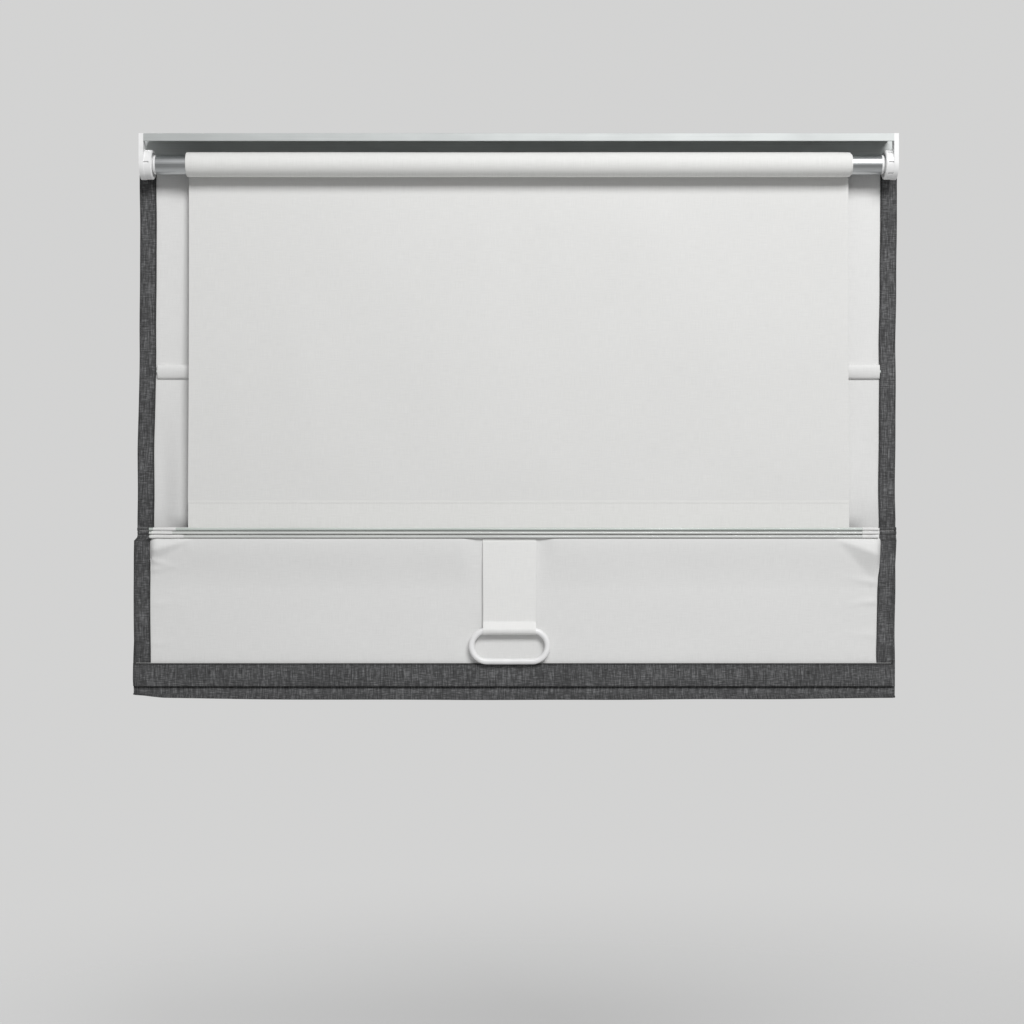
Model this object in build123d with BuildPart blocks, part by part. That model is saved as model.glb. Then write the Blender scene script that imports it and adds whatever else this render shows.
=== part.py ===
from build123d import *
import os

# A cordless roman blind, hanging partly raised. Its back faces -Y and its room side +Y.
# The origin is the centre of the headrail's top face, and +Z is up.
# A spring roller at the back winds a lift panel, and the panel carries the stack of ribs.

# ---- headrail and end brackets ----
rail_length = 891.0
rail_depth = 40.0
rail_wall = 1.5
rear_lip_height = 9.0
front_wall_height = 34.0
front_wall_reach = 5.5      # the front wall runs on past the rail, in front of each end plate
lip_return = 3.0            # small inward fold at the foot of the rear lip
rail_hole_spacing = 700.0
rail_hole_radius = 2.25
plate_thickness = 5.5
plate_arm_depth = 12.0      # from the back of the rail to the front of an end plate's arm
plate_end_margin = 0.5      # the foot of an end plate goes this far round its hub
plate_fillet = 3.0
plate_rim_width = 2.5       # raised border on the outside of an end plate
plate_rim_relief = 1.2
plate_tongue_length = 14.0  # goes into the end of the rail
plate_tongue_depth = 8.0
plate_tongue_thickness = 3.0
tongue_clearance = 0.15

# ---- spring roller ----
roller_z = -34.3
hub_wall_gap = 3.0          # between a hub and the front wall of the rail
tube_diameter = 23.6
tube_wall = 1.0
tube_end_gap = 12.5         # from the inside of an end plate to the end of the tube
hub_diameter = 35.0
hub_length = 9.0
hub_rim = 3.0
hub_recess = 1.5            # sunk ring on the hub's inner face
hub_notch_count_left = 2
hub_notch_count_right = 8
hub_notch_width = 2.4
hub_notch_depth = 1.8
hub_notch_length = 6.0      # from the end plate, so a plain band is left at the inner end
hub_chamfer = 1.0
flange_step = 0.5           # the flange is this much smaller in radius than the tube
flange_length = 3.0
flange_chamfer = 0.8
plug_length = 16.0
plug_fit = 0.05             # each side, a plug in the tube
pin_diameter = 5.0
pin_reach = 6.0             # how far a pin goes into its hub
running_clearance = 0.08    # each side, a pin or shaft in its bearing
shaft_diameter = 8.0
shaft_length = 330.0
spring_length = 240.0
spring_outer_diameter = 16.0
spring_inner_diameter = 13.0
collar_length = 14.0
collar_flange_length = 4.0
spring_seat_clearance = 0.3

# ---- lift panel ----
tube_bare_length = 36.0     # bare tube at each end of the wound cloth
wound_thickness = 3.2       # build-up of the wound cloth on the tube
wound_fit = 0.05
panel_thickness = 0.5
panel_hem_thickness = 1.0
panel_hem_height = 45.0
panel_clearance = 0.35      # between cloth that hangs and cloth that turns

# ---- ribs ----
rod_diameter = 3.4
rod_y = 3.3
rib_1_z = -280.0
rib_2_z = -470.0
pocket_gap = 0.2            # between the pockets of two ribs of the stack
rod_inset = 20.0            # from the edge of the cloth to the end of a rod
pocket_wall = 0.35
pocket_clearance = 0.1
pocket_length_left = 27.0
pocket_length_right = 19.0
rib_1_pocket_height = 17.0
rib_1_pocket_depth = 5.4
pocket_end_radius = 2.6     # of the pocket's top and foot, in side view

# ---- face cloth, lining and hems ----
cloth_overhang = 6.0        # past the end plates, each side
cloth_thickness = 1.0
lining_thickness = 0.6
layer_gap = 0.3
skirt_hem_gap = 0.2         # from the skirt's lining to its side hems
side_hem_width = 20.0
edge_radius = 0.9           # of the turn where a side hem folds back
tape_height = 22.0
tape_thickness = 1.2
tape_inset = 22.0           # from the edge of the cloth to the end of a tape
tape_drop = 4.0             # from the top of the rail to the top of the tape
stack_shift = -6.0          # the gathered part hangs a little to the left of the rail
fold_spacing = 2.6          # from the front layer of a fold to its back layer
fold_gap = 2.0              # from the middle of one layer to the next fold's
bend_radius = 1.5           # where a layer leaves a rib and turns down
fold_bottom_z = -676.0
open_fold_bottom_z = -576.0
skirt_gap = 2.2             # from the skirt to the fold in front of it
half_turn = 1.0             # half the height of the cloth's turn at a rib
turn_gap = 0.7              # from the lift panel's hem to the turns of the cloth
rib_reach = 3.2             # from a turn at a rib to the end of the cloth that moves
skirt_set_back = 2.2        # from the turns of the cloth to the skirt
skirt_drop = 4.0            # below the lowest rib the skirt hangs straight from here
skirt_hem_drop = 5.0        # and its lining and side hems start here
skirt_bend_radius = 3.0
skirt_height = 180.0        # from the lowest rib to the bottom of the blind
bottom_hem_height = 28.0
hem_bend_radius = 1.2
lining_tuck = 4.0           # how far the skirt's lining goes into the bottom hem
bottom_bar_height = 20.0
bottom_bar_thickness = 1.6
bar_end_gap = 2.0           # from a side hem to the end of the bottom bar
bend_margin = 0.05          # kept from the two bends of a turn meeting

# ---- pull strap and ring ----
pull_shift = -11.0
strap_width = 64.0
strap_thickness = 1.2
strap_tail = 14.0
strap_gap = 0.5             # from the lift panel's hem to the top of the strap
strap_bend_radius = 3.0
loop_lead = 2.0             # the loop stays open this far above the ring's bar
loop_taper = 7.0            # and closes over this height
strap_loop_clearance = 0.35
ring_width = 98.0
ring_height = 44.0
ring_bar_diameter = 7.0
ring_clearance = 1.0        # between the ring and the bottom hem behind it
ring_top_z = -588.0

# ---- places that follow from the sizes ----
roller_y = rail_depth / 2 - rail_wall - hub_wall_gap - hub_diameter / 2
tube_length = rail_length - 2 * tube_end_gap
panel_width = tube_length - 2 * tube_bare_length
wound_radius = tube_diameter / 2 + wound_thickness
cloth_width = rail_length + 2 * plate_thickness + 2 * cloth_overhang
rail_front_y = rail_depth / 2
loop_tape_y = rail_front_y + tape_thickness
upper_lining_y = loop_tape_y + tape_thickness + layer_gap
upper_face_y = upper_lining_y + lining_thickness + layer_gap + cloth_thickness / 2
upper_hem_y = upper_lining_y - layer_gap - cloth_thickness / 2
rib_pitch = rod_diameter + 2 * (pocket_clearance + pocket_wall) + pocket_gap
rib_3_z = rib_2_z - rib_pitch
rib_4_z = rib_3_z - rib_pitch
hem_panel_y = rod_y + rod_diameter / 2 + layer_gap + panel_hem_thickness / 2
turn_y = hem_panel_y + panel_hem_thickness / 2 + turn_gap + cloth_thickness / 2
panel_hem_bottom_z = rib_4_z - rod_diameter / 2
panel_hem_top_z = panel_hem_bottom_z + panel_hem_height
skirt_y = turn_y + skirt_set_back
skirt_bottom_z = rib_4_z - skirt_height
bar_y = skirt_y - cloth_thickness / 2 - layer_gap - bottom_bar_thickness / 2
bottom_hem_y = bar_y - bottom_bar_thickness / 2 - layer_gap - cloth_thickness / 2
skirt_lining_y = skirt_y - cloth_thickness / 2 - layer_gap - lining_thickness / 2
skirt_hem_y = skirt_lining_y - lining_thickness / 2 - skirt_hem_gap - cloth_thickness / 2
fold_4_back_y = skirt_y + skirt_gap
fold_4_front_y = fold_4_back_y + fold_spacing
fold_3_back_y = fold_4_front_y + fold_gap
fold_3_front_y = fold_3_back_y + fold_spacing
fold_2_back_y = fold_3_front_y + fold_gap
fold_2_front_y = max(upper_face_y, fold_2_back_y + fold_spacing)
tube_inner_diameter = tube_diameter - 2 * tube_wall
flange_diameter = tube_diameter - 2 * flange_step
plug_diameter = tube_inner_diameter - 2 * plug_fit
hub_inner_x = rail_length / 2 - hub_length
shaft_end_x = rail_length / 2 - hub_length + pin_reach
spring_end_x = tube_length / 2 - plug_length - collar_flange_length - collar_length / 2
spring_start_x = spring_end_x - spring_length
ring_bar_z = ring_top_z - ring_bar_diameter / 2
ring_y = bottom_hem_y - cloth_thickness / 2 - ring_clearance - ring_bar_diameter / 2

os.makedirs("parts", exist_ok=True)


def save(piece, name):
    """Label a finished piece and write it."""
    piece.part.label = name
    export_step(piece.part, f"parts/{name}.step")


def side_plane(x):
    """A plane across the blind at x: its own x is +Y, its own y is +Z and it faces +X."""
    return Plane(origin=(x, 0, 0), x_dir=(0, 1, 0), z_dir=(1, 0, 0))


def roller_plane(x, outward=1):
    """A plane across the roller's axis at x, facing +X or, with outward -1, facing -X."""
    return Plane(origin=(x, roller_y, roller_z), x_dir=(0, outward, 0), z_dir=(outward, 0, 0))


def bent_sheet(points, radii, thickness, centre_x, width):
    """A sheet of cloth whose side view follows (y, z) points, with a radius at each bend."""
    with BuildPart() as sheet:
        with BuildSketch(side_plane(centre_x - width / 2)):
            with BuildLine():
                FilletPolyline(*points, radius=radii)
            trace(line_width=thickness)
        extrude(amount=width)
    return sheet


def flat_sheet(centre, size):
    """A flat strip or sheet, given by its centre and its size along X, Y and Z."""
    with BuildPart(Plane(origin=centre)) as sheet:
        Box(*size)
    return sheet


# ---------------------------------------------------------------- headrail
rail_profile = [
    (-rail_depth / 2, 0),
    (rail_depth / 2, 0),
    (rail_depth / 2, -front_wall_height),
    (rail_depth / 2 - rail_wall, -front_wall_height),
    (rail_depth / 2 - rail_wall, -rail_wall),
    (-rail_depth / 2 + rail_wall, -rail_wall),
    (-rail_depth / 2 + rail_wall, -rear_lip_height + rail_wall),
    (-rail_depth / 2 + lip_return, -rear_lip_height + rail_wall),
    (-rail_depth / 2 + lip_return, -rear_lip_height),
    (-rail_depth / 2, -rear_lip_height),
]
with BuildPart() as headrail:
    with BuildSketch(side_plane(-rail_length / 2)):
        with BuildLine():
            Polyline(*rail_profile, close=True)
        make_face()
    extrude(amount=rail_length)
    with BuildSketch(Plane.XY):
        with GridLocations(rail_hole_spacing, 0, 2, 1):
            Circle(rail_hole_radius)
    extrude(amount=-rail_wall, mode=Mode.SUBTRACT)
    long_outer = headrail.edges().filter_by(Axis.X).group_by(Axis.Z)[-1]
    fillet(long_outer, radius=rail_wall / 2)
    front_wall_length = rail_length + 2 * front_wall_reach
    with Locations((0, (rail_depth - rail_wall) / 2, -(front_wall_height + rail_wall) / 2)):
        Box(front_wall_length, rail_wall, front_wall_height - rail_wall)
save(headrail, "headrail")


# ---------------------------------------------------------------- end brackets
def plate_outline(x, inset):
    """The outline of an end plate at x: an arm down from the rail, and a disc behind the hub."""
    arm_depth = plate_arm_depth - 2 * inset
    arm_height = -roller_z - inset
    disc_radius = hub_diameter / 2 + plate_end_margin - inset
    with BuildSketch(side_plane(x)) as outline:
        with Locations((-rail_depth / 2 + plate_arm_depth / 2, roller_z + arm_height / 2)):
            Rectangle(arm_depth, arm_height)
        with Locations((roller_y, roller_z)):
            Circle(disc_radius)
        below_top = outline.vertices().filter_by_position(Axis.Z, roller_z + 1, -1 - inset)
        fillet(below_top, radius=plate_fillet)
    return outline


def end_bracket(side):
    """An end plate with a raised rim and a tongue that goes inside the rail."""
    inside_x = side * rail_length / 2
    outside_x = inside_x + side * plate_thickness
    tongue_y = -rail_depth / 2 + plate_arm_depth - plate_tongue_depth / 2
    tongue_z = -rail_wall - tongue_clearance - plate_tongue_thickness / 2
    with BuildPart() as bracket:
        plate = plate_outline(inside_x, 0)
        extrude(plate.sketch, amount=side * plate_thickness)
        recess = plate_outline(outside_x, plate_rim_width)
        extrude(recess.sketch, amount=-side * plate_rim_relief, mode=Mode.SUBTRACT)
        with BuildSketch(side_plane(inside_x)):
            with Locations((tongue_y, tongue_z)):
                Rectangle(plate_tongue_depth, plate_tongue_thickness)
        extrude(amount=-side * plate_tongue_length)
    return bracket


def end_hub(side, bore_radius, notch_count):
    """A notched boss on the inside of an end plate, which holds the roller's pin or shaft."""
    inner_face = roller_plane(side * hub_inner_x, side)
    with BuildPart() as hub:
        with BuildSketch(roller_plane(side * rail_length / 2, -side)):
            Circle(hub_diameter / 2)
        extrude(amount=hub_length)
        inner_edge = hub.edges().filter_by(GeomType.CIRCLE).sort_by(Axis.X)[0 if side > 0 else -1]
        chamfer(inner_edge, hub_chamfer)
        with BuildSketch(roller_plane(side * rail_length / 2, -side)):
            with PolarLocations(hub_diameter / 2, notch_count):
                Rectangle(2 * hub_notch_depth, hub_notch_width)
        extrude(amount=hub_notch_length, mode=Mode.SUBTRACT)
        with BuildSketch(inner_face):
            Circle(hub_diameter / 2 - hub_rim)
            Circle(flange_diameter / 2 - hub_rim, mode=Mode.SUBTRACT)
        extrude(amount=hub_recess, mode=Mode.SUBTRACT)
        with BuildSketch(inner_face):
            Circle(bore_radius)
        extrude(amount=pin_reach + running_clearance, mode=Mode.SUBTRACT)
    return hub


bracket_left = end_bracket(-1)
save(bracket_left, "bracket_left")
bracket_right = end_bracket(1)
save(bracket_right, "bracket_right")
hub_left = end_hub(-1, pin_diameter / 2 + running_clearance, hub_notch_count_left)
save(hub_left, "hub_left")
hub_right = end_hub(1, shaft_diameter / 2, hub_notch_count_right)
save(hub_right, "hub_right")


# ---------------------------------------------------------------- spring roller
with BuildPart() as roller_tube:
    with BuildSketch(roller_plane(-tube_length / 2)):
        Circle(tube_diameter / 2)
        Circle(tube_inner_diameter / 2, mode=Mode.SUBTRACT)
    extrude(amount=tube_length)
save(roller_tube, "roller_tube")


def tube_plug(side):
    """A plug in the end of the tube, with a flange outside it."""
    with BuildPart() as plug:
        with BuildSketch(roller_plane(side * tube_length / 2, side)):
            Circle(flange_diameter / 2)
        extrude(amount=flange_length)
        circles = plug.edges().filter_by(GeomType.CIRCLE).sort_by(Axis.X)
        chamfer(circles[-1 if side > 0 else 0], flange_chamfer)
        with BuildSketch(roller_plane(side * tube_length / 2, -side)):
            Circle(plug_diameter / 2)
        extrude(amount=plug_length)
    return plug


with BuildPart() as plug_left:
    add(tube_plug(-1).part)
    with BuildSketch(roller_plane(-tube_length / 2 - flange_length, -1)):
        Circle(pin_diameter / 2)
    extrude(amount=tube_end_gap - flange_length - hub_length + pin_reach)
save(plug_left, "plug_left")

with BuildPart() as plug_right:
    add(tube_plug(1).part)
    with BuildSketch(roller_plane(tube_length / 2 + flange_length, -1)):
        Circle(shaft_diameter / 2 + running_clearance)
    extrude(amount=flange_length + plug_length, mode=Mode.SUBTRACT)
save(plug_right, "plug_right")

with BuildPart() as spring_shaft:
    with BuildSketch(roller_plane(shaft_end_x, -1)):
        Circle(shaft_diameter / 2)
    extrude(amount=shaft_length)
save(spring_shaft, "spring_shaft")


def spring_collar(x, outward, bore_radius, flange_radius):
    """A collar on the shaft that holds one end of the spring: a flange and a seat."""
    with BuildPart() as collar:
        with BuildSketch(roller_plane(x, outward)):
            Circle(flange_radius)
        extrude(amount=collar_flange_length)
        with BuildSketch(roller_plane(x, -outward)):
            Circle(spring_inner_diameter / 2 - spring_seat_clearance)
        extrude(amount=collar_length)
        with BuildSketch(roller_plane(x + outward * collar_flange_length, -outward)):
            Circle(bore_radius)
        extrude(amount=collar_length + collar_flange_length, mode=Mode.SUBTRACT)
    return collar


spring_anchor = spring_collar(spring_end_x, 1, shaft_diameter / 2, spring_outer_diameter / 2)
save(spring_anchor, "spring_anchor")
spring_driver = spring_collar(
    spring_start_x, -1, shaft_diameter / 2 + running_clearance, plug_diameter / 2
)
save(spring_driver, "spring_driver")

with BuildPart() as torsion_spring:
    with BuildSketch(roller_plane(spring_start_x + spring_seat_clearance)):
        Circle(spring_outer_diameter / 2)
        Circle(spring_inner_diameter / 2, mode=Mode.SUBTRACT)
    extrude(amount=spring_length - spring_seat_clearance)
save(torsion_spring, "torsion_spring")


# ---------------------------------------------------------------- lift panel
with BuildPart() as wound_panel:
    with BuildSketch(roller_plane(-panel_width / 2)):
        Circle(wound_radius)
        Circle(tube_diameter / 2 + wound_fit, mode=Mode.SUBTRACT)
    extrude(amount=panel_width)
save(wound_panel, "wound_panel")

with BuildPart() as lift_panel:
    with BuildSketch(side_plane(-panel_width / 2)):
        with BuildLine():
            panel_top_y = roller_y + wound_radius + panel_clearance + panel_thickness / 2
            Line((panel_top_y, roller_z), (hem_panel_y, panel_hem_top_z + panel_clearance))
        trace(line_width=panel_thickness)
    extrude(amount=panel_width)
save(lift_panel, "lift_panel")

panel_hem = flat_sheet(
    (0, hem_panel_y, (panel_hem_top_z + panel_hem_bottom_z) / 2),
    (panel_width, panel_hem_thickness, panel_hem_height),
)
save(panel_hem, "panel_hem")


# ---------------------------------------------------------------- ribs and their pockets
rod_length = cloth_width - 2 * rod_inset


def rib_rod(centre_x, y, z):
    """A round rod across the blind."""
    with BuildPart() as rod:
        with BuildSketch(side_plane(centre_x - rod_length / 2)):
            with Locations((y, z)):
                Circle(rod_diameter / 2)
        extrude(amount=rod_length)
    return rod


def end_pockets(z):
    """The two short sleeves of lining that hold the ends of a rod, each with its sewn edge."""
    inner = rod_diameter / 2 + pocket_clearance
    left_x = stack_shift - rod_length / 2
    right_x = stack_shift + rod_length / 2 - pocket_length_right
    sewn_reach = turn_y - cloth_thickness / 2 - layer_gap - rod_y
    with BuildPart() as pockets:
        for start_x, length in ((left_x, pocket_length_left), (right_x, pocket_length_right)):
            with BuildSketch(side_plane(start_x)):
                with Locations((rod_y, z)):
                    Circle(inner + pocket_wall)
                with Locations((rod_y + sewn_reach / 2, z)):
                    Rectangle(sewn_reach, pocket_wall)
                with Locations((rod_y, z)):
                    Circle(inner, mode=Mode.SUBTRACT)
            extrude(amount=length)
    return pockets


rib_1_y = upper_lining_y - layer_gap - rib_1_pocket_depth / 2
rib_1 = rib_rod(0, rib_1_y, rib_1_z)
save(rib_1, "rib_1")

with BuildPart() as rib_1_pocket:
    pocket_length = cloth_width - 2 * (side_hem_width + cloth_thickness)
    with BuildSketch(side_plane(-pocket_length / 2)):
        with Locations((rib_1_y, rib_1_z)):
            RectangleRounded(rib_1_pocket_depth, rib_1_pocket_height, pocket_end_radius)
            Circle(rod_diameter / 2 + pocket_clearance, mode=Mode.SUBTRACT)
    extrude(amount=pocket_length)
save(rib_1_pocket, "rib_1_pocket")

for number, rib_z in ((2, rib_2_z), (3, rib_3_z), (4, rib_4_z)):
    save(rib_rod(stack_shift, rod_y, rib_z), f"rib_{number}")
    save(end_pockets(rib_z), f"rib_{number}_pockets")


# ---------------------------------------------------------------- upper cloth, on the rail
rail_tape_length = cloth_width - 2 * tape_inset
tape_centre_z = -tape_drop - tape_height / 2
hook_tape = flat_sheet(
    (0, rail_front_y + tape_thickness / 2, tape_centre_z),
    (rail_tape_length, tape_thickness, tape_height),
)
save(hook_tape, "hook_tape")
loop_tape = flat_sheet(
    (0, loop_tape_y + tape_thickness / 2, tape_centre_z),
    (rail_tape_length, tape_thickness, tape_height),
)
save(loop_tape, "loop_tape")

upper_bottom_z = rib_1_z - rib_1_pocket_height / 2
edge_x = cloth_width / 2 - cloth_thickness / 2
hem_edge_x = cloth_width / 2 - side_hem_width
upper_lining = flat_sheet(
    (0, upper_lining_y + lining_thickness / 2, (upper_bottom_z - cloth_thickness) / 2),
    (2 * edge_x - 2 * cloth_thickness, lining_thickness, -upper_bottom_z - cloth_thickness),
)
save(upper_lining, "upper_lining")

with BuildPart() as upper_cloth:
    with BuildSketch(Plane.XY.offset(upper_bottom_z)):
        with BuildLine():
            FilletPolyline(
                (-hem_edge_x, upper_hem_y),
                (-edge_x, upper_hem_y),
                (-edge_x, upper_face_y),
                (edge_x, upper_face_y),
                (edge_x, upper_hem_y),
                (hem_edge_x, upper_hem_y),
                radius=edge_radius,
            )
        trace(line_width=cloth_thickness)
    extrude(amount=-upper_bottom_z - cloth_thickness)
save(upper_cloth, "upper_cloth")


# ---------------------------------------------------------------- folds and skirt
open_fold_points = [
    (fold_2_front_y, upper_bottom_z - panel_clearance),
    (fold_2_front_y, open_fold_bottom_z),
    (fold_2_back_y, open_fold_bottom_z),
    (fold_2_back_y, rib_2_z + half_turn),
    (turn_y + rib_reach + panel_clearance, rib_2_z + half_turn),
]
open_radius = (fold_2_front_y - fold_2_back_y) / 2 - bend_margin
open_fold = bent_sheet(
    open_fold_points,
    [open_radius, open_radius, bend_radius],
    cloth_thickness,
    stack_shift / 2,
    cloth_width,
)
save(open_fold, "open_fold")


def fold_points(upper_z, lower_z, front_y, back_y):
    """One hanging fold: out from the rib at upper_z, down, round and back to the rib at lower_z."""
    return [
        (front_y, upper_z - half_turn),
        (front_y, fold_bottom_z),
        (back_y, fold_bottom_z),
        (back_y, lower_z + half_turn),
    ]


def rib_turn(z):
    """The turn of the cloth at a rib, open towards the room."""
    return [(turn_y, z + half_turn), (turn_y, z - half_turn)]


turn_radius = half_turn - bend_margin
fold_radius = fold_spacing / 2 - bend_margin
fold_radii = [bend_radius, fold_radius, fold_radius, bend_radius]
lower_points = [(turn_y + rib_reach, rib_2_z + half_turn)]
lower_points += rib_turn(rib_2_z)
lower_points += fold_points(rib_2_z, rib_3_z, fold_3_front_y, fold_3_back_y)
lower_points += rib_turn(rib_3_z)
lower_points += fold_points(rib_3_z, rib_4_z, fold_4_front_y, fold_4_back_y)
lower_points += rib_turn(rib_4_z)
lower_points += [
    (skirt_y, rib_4_z - skirt_drop),
    (skirt_y, skirt_bottom_z + cloth_thickness / 2),
    (bottom_hem_y, skirt_bottom_z + cloth_thickness / 2),
    (bottom_hem_y, skirt_bottom_z + bottom_hem_height),
]
turn_radii = [turn_radius, turn_radius]
skirt_radii = [skirt_bend_radius, hem_bend_radius, hem_bend_radius]
lower_radii = turn_radii + fold_radii + turn_radii + fold_radii + turn_radii + skirt_radii
hem_top_z = rib_4_z - skirt_hem_drop

with BuildPart() as lower_cloth:
    with BuildSketch(side_plane(stack_shift - cloth_width / 2)):
        with BuildLine():
            FilletPolyline(*lower_points, radius=lower_radii)
        trace(line_width=cloth_thickness)
    extrude(amount=cloth_width)
    hem_height = hem_top_z - skirt_bottom_z - cloth_thickness
    with BuildSketch(Plane.XY.offset(hem_top_z)):
        for side in (-1, 1):
            outer_x = stack_shift + side * cloth_width / 2
            with Locations((outer_x - side * side_hem_width / 2, skirt_hem_y)):
                Rectangle(side_hem_width, cloth_thickness)
            with Locations((outer_x - side * cloth_thickness / 2, (skirt_hem_y + skirt_y) / 2)):
                Rectangle(cloth_thickness, skirt_y - skirt_hem_y + cloth_thickness)
    extrude(amount=-hem_height)
save(lower_cloth, "lower_cloth")

skirt_lining_bottom_z = skirt_bottom_z + bottom_hem_height - lining_tuck
skirt_lining = flat_sheet(
    (stack_shift, skirt_lining_y, (hem_top_z + skirt_lining_bottom_z) / 2),
    (cloth_width - 4 * cloth_thickness, lining_thickness, hem_top_z - skirt_lining_bottom_z),
)
save(skirt_lining, "skirt_lining")

bottom_bar = flat_sheet(
    (stack_shift, bar_y, skirt_bottom_z + cloth_thickness + layer_gap + bottom_bar_height / 2),
    (cloth_width - 2 * (side_hem_width + bar_end_gap), bottom_bar_thickness, bottom_bar_height),
)
save(bottom_bar, "bottom_bar")


# ---------------------------------------------------------------- pull strap and ring
loop_radius = ring_bar_diameter / 2 + strap_loop_clearance + strap_thickness / 2
strap_top_z = panel_hem_bottom_z - strap_gap
tail_y = ring_y + loop_radius - strap_thickness - bend_margin
strap_points = [
    (ring_y + loop_radius, strap_top_z),
    (ring_y + loop_radius, ring_bar_z - loop_radius),
    (ring_y - loop_radius, ring_bar_z - loop_radius),
    (ring_y - loop_radius, ring_bar_z + loop_lead),
    (tail_y, ring_bar_z + loop_radius + loop_taper),
    (tail_y, ring_bar_z + loop_radius + loop_taper + strap_tail),
]
loop_corner = loop_radius - bend_margin
strap_radii = [loop_corner, loop_corner, strap_bend_radius, strap_bend_radius]
loop_width = ring_width - ring_height - 2 * strap_loop_clearance
strap_loop = bent_sheet(strap_points, strap_radii, strap_thickness, pull_shift, loop_width)
strap_body_height = strap_top_z - ring_bar_z
with BuildPart() as pull_strap:
    add(strap_loop.part)
    with Locations((pull_shift, ring_y + loop_radius, strap_top_z - strap_body_height / 2)):
        Box(strap_width, strap_thickness, strap_body_height)
save(pull_strap, "pull_strap")

with BuildPart() as pull_ring:
    ring_centre_z = ring_top_z - ring_height / 2
    end_radius = (ring_height - ring_bar_diameter) / 2
    half_straight = (ring_width - ring_height) / 2
    ring_centre = (pull_shift, ring_y, ring_centre_z)
    ring_plane = Plane(origin=ring_centre, x_dir=(1, 0, 0), z_dir=(0, -1, 0))
    with BuildLine(ring_plane):
        Line((half_straight, end_radius), (-half_straight, end_radius))
        RadiusArc((-half_straight, end_radius), (-half_straight, -end_radius), -end_radius)
        Line((-half_straight, -end_radius), (half_straight, -end_radius))
        RadiusArc((half_straight, -end_radius), (half_straight, end_radius), -end_radius)
    with BuildSketch(side_plane(pull_shift)):
        with Locations((ring_y, ring_bar_z)):
            Circle(ring_bar_diameter / 2)
    sweep()
save(pull_ring, "pull_ring")
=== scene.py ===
import logging
import math
from collections.abc import Sequence
from dataclasses import dataclass, field
from enum import Enum

import bpy
import numpy as np
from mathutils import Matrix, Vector


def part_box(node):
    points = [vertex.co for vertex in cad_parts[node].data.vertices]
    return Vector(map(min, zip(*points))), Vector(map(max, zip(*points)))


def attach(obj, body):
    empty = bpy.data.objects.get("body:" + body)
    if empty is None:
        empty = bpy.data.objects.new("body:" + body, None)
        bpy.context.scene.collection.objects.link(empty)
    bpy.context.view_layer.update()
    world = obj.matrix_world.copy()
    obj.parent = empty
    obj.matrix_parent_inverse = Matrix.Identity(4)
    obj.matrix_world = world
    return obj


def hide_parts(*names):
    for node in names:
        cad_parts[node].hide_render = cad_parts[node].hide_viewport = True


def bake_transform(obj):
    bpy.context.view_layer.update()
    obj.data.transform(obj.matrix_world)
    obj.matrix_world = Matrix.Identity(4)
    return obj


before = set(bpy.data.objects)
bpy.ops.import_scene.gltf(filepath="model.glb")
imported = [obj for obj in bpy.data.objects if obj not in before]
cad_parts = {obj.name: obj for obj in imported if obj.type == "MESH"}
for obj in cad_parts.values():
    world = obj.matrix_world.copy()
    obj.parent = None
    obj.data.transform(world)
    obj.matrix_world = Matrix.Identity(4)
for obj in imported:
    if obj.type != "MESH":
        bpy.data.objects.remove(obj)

MM = 0.001
CLOTH_MAP = "cloth"
Colour = tuple[float, float, float, float]
Stops = Sequence[tuple[float, float]]
Socket = bpy.types.NodeSocket
log = logging.getLogger("roman_blind")


class Body(Enum):
    """The bodies that the pieces ride on."""

    RAIL = "rail"
    ROLLER = "roller"
    STACK = "stack"


class Slot(Enum):
    """The names of the material slots. The hard nodes' plan pairs each finish with one, but nothing applies
    them.
    """

    RAIL = "rail_aluminium"
    TUBE = "tube_aluminium"
    PLASTIC = "white_plastic"
    STEEL = "spring_steel"
    FIBRE = "glass_fibre"
    PANEL = "panel_cloth"
    LINING = "white_lining"
    STRAP = "strap_cloth"
    TAPE = "white_tape"
    LINEN = "charcoal_linen"


def grey(level: float, tint: tuple[float, float, float] = (1.0, 1.0, 1.0)) -> Colour:
    """A grey of that strength with a slight tint.

    Args:
        level: The strength of the grey, from 0 to 1.
        tint: What each of red, green and blue is multiplied by.

    Returns:
        The colour, with full cover.
    """
    return (level * tint[0], level * tint[1], level * tint[2], 1.0)


def ease(value: np.ndarray, low: float, high: float) -> np.ndarray:
    """A smooth step.

    Args:
        value: The values to place between low and high.
        low: Where the step starts, at 0.
        high: Where the step ends, at 1.

    Returns:
        Each value's share of the step.
    """
    share = np.clip((value - low) / (high - low), 0.0, 1.0)
    return share * share * (3.0 - 2.0 * share)


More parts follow.
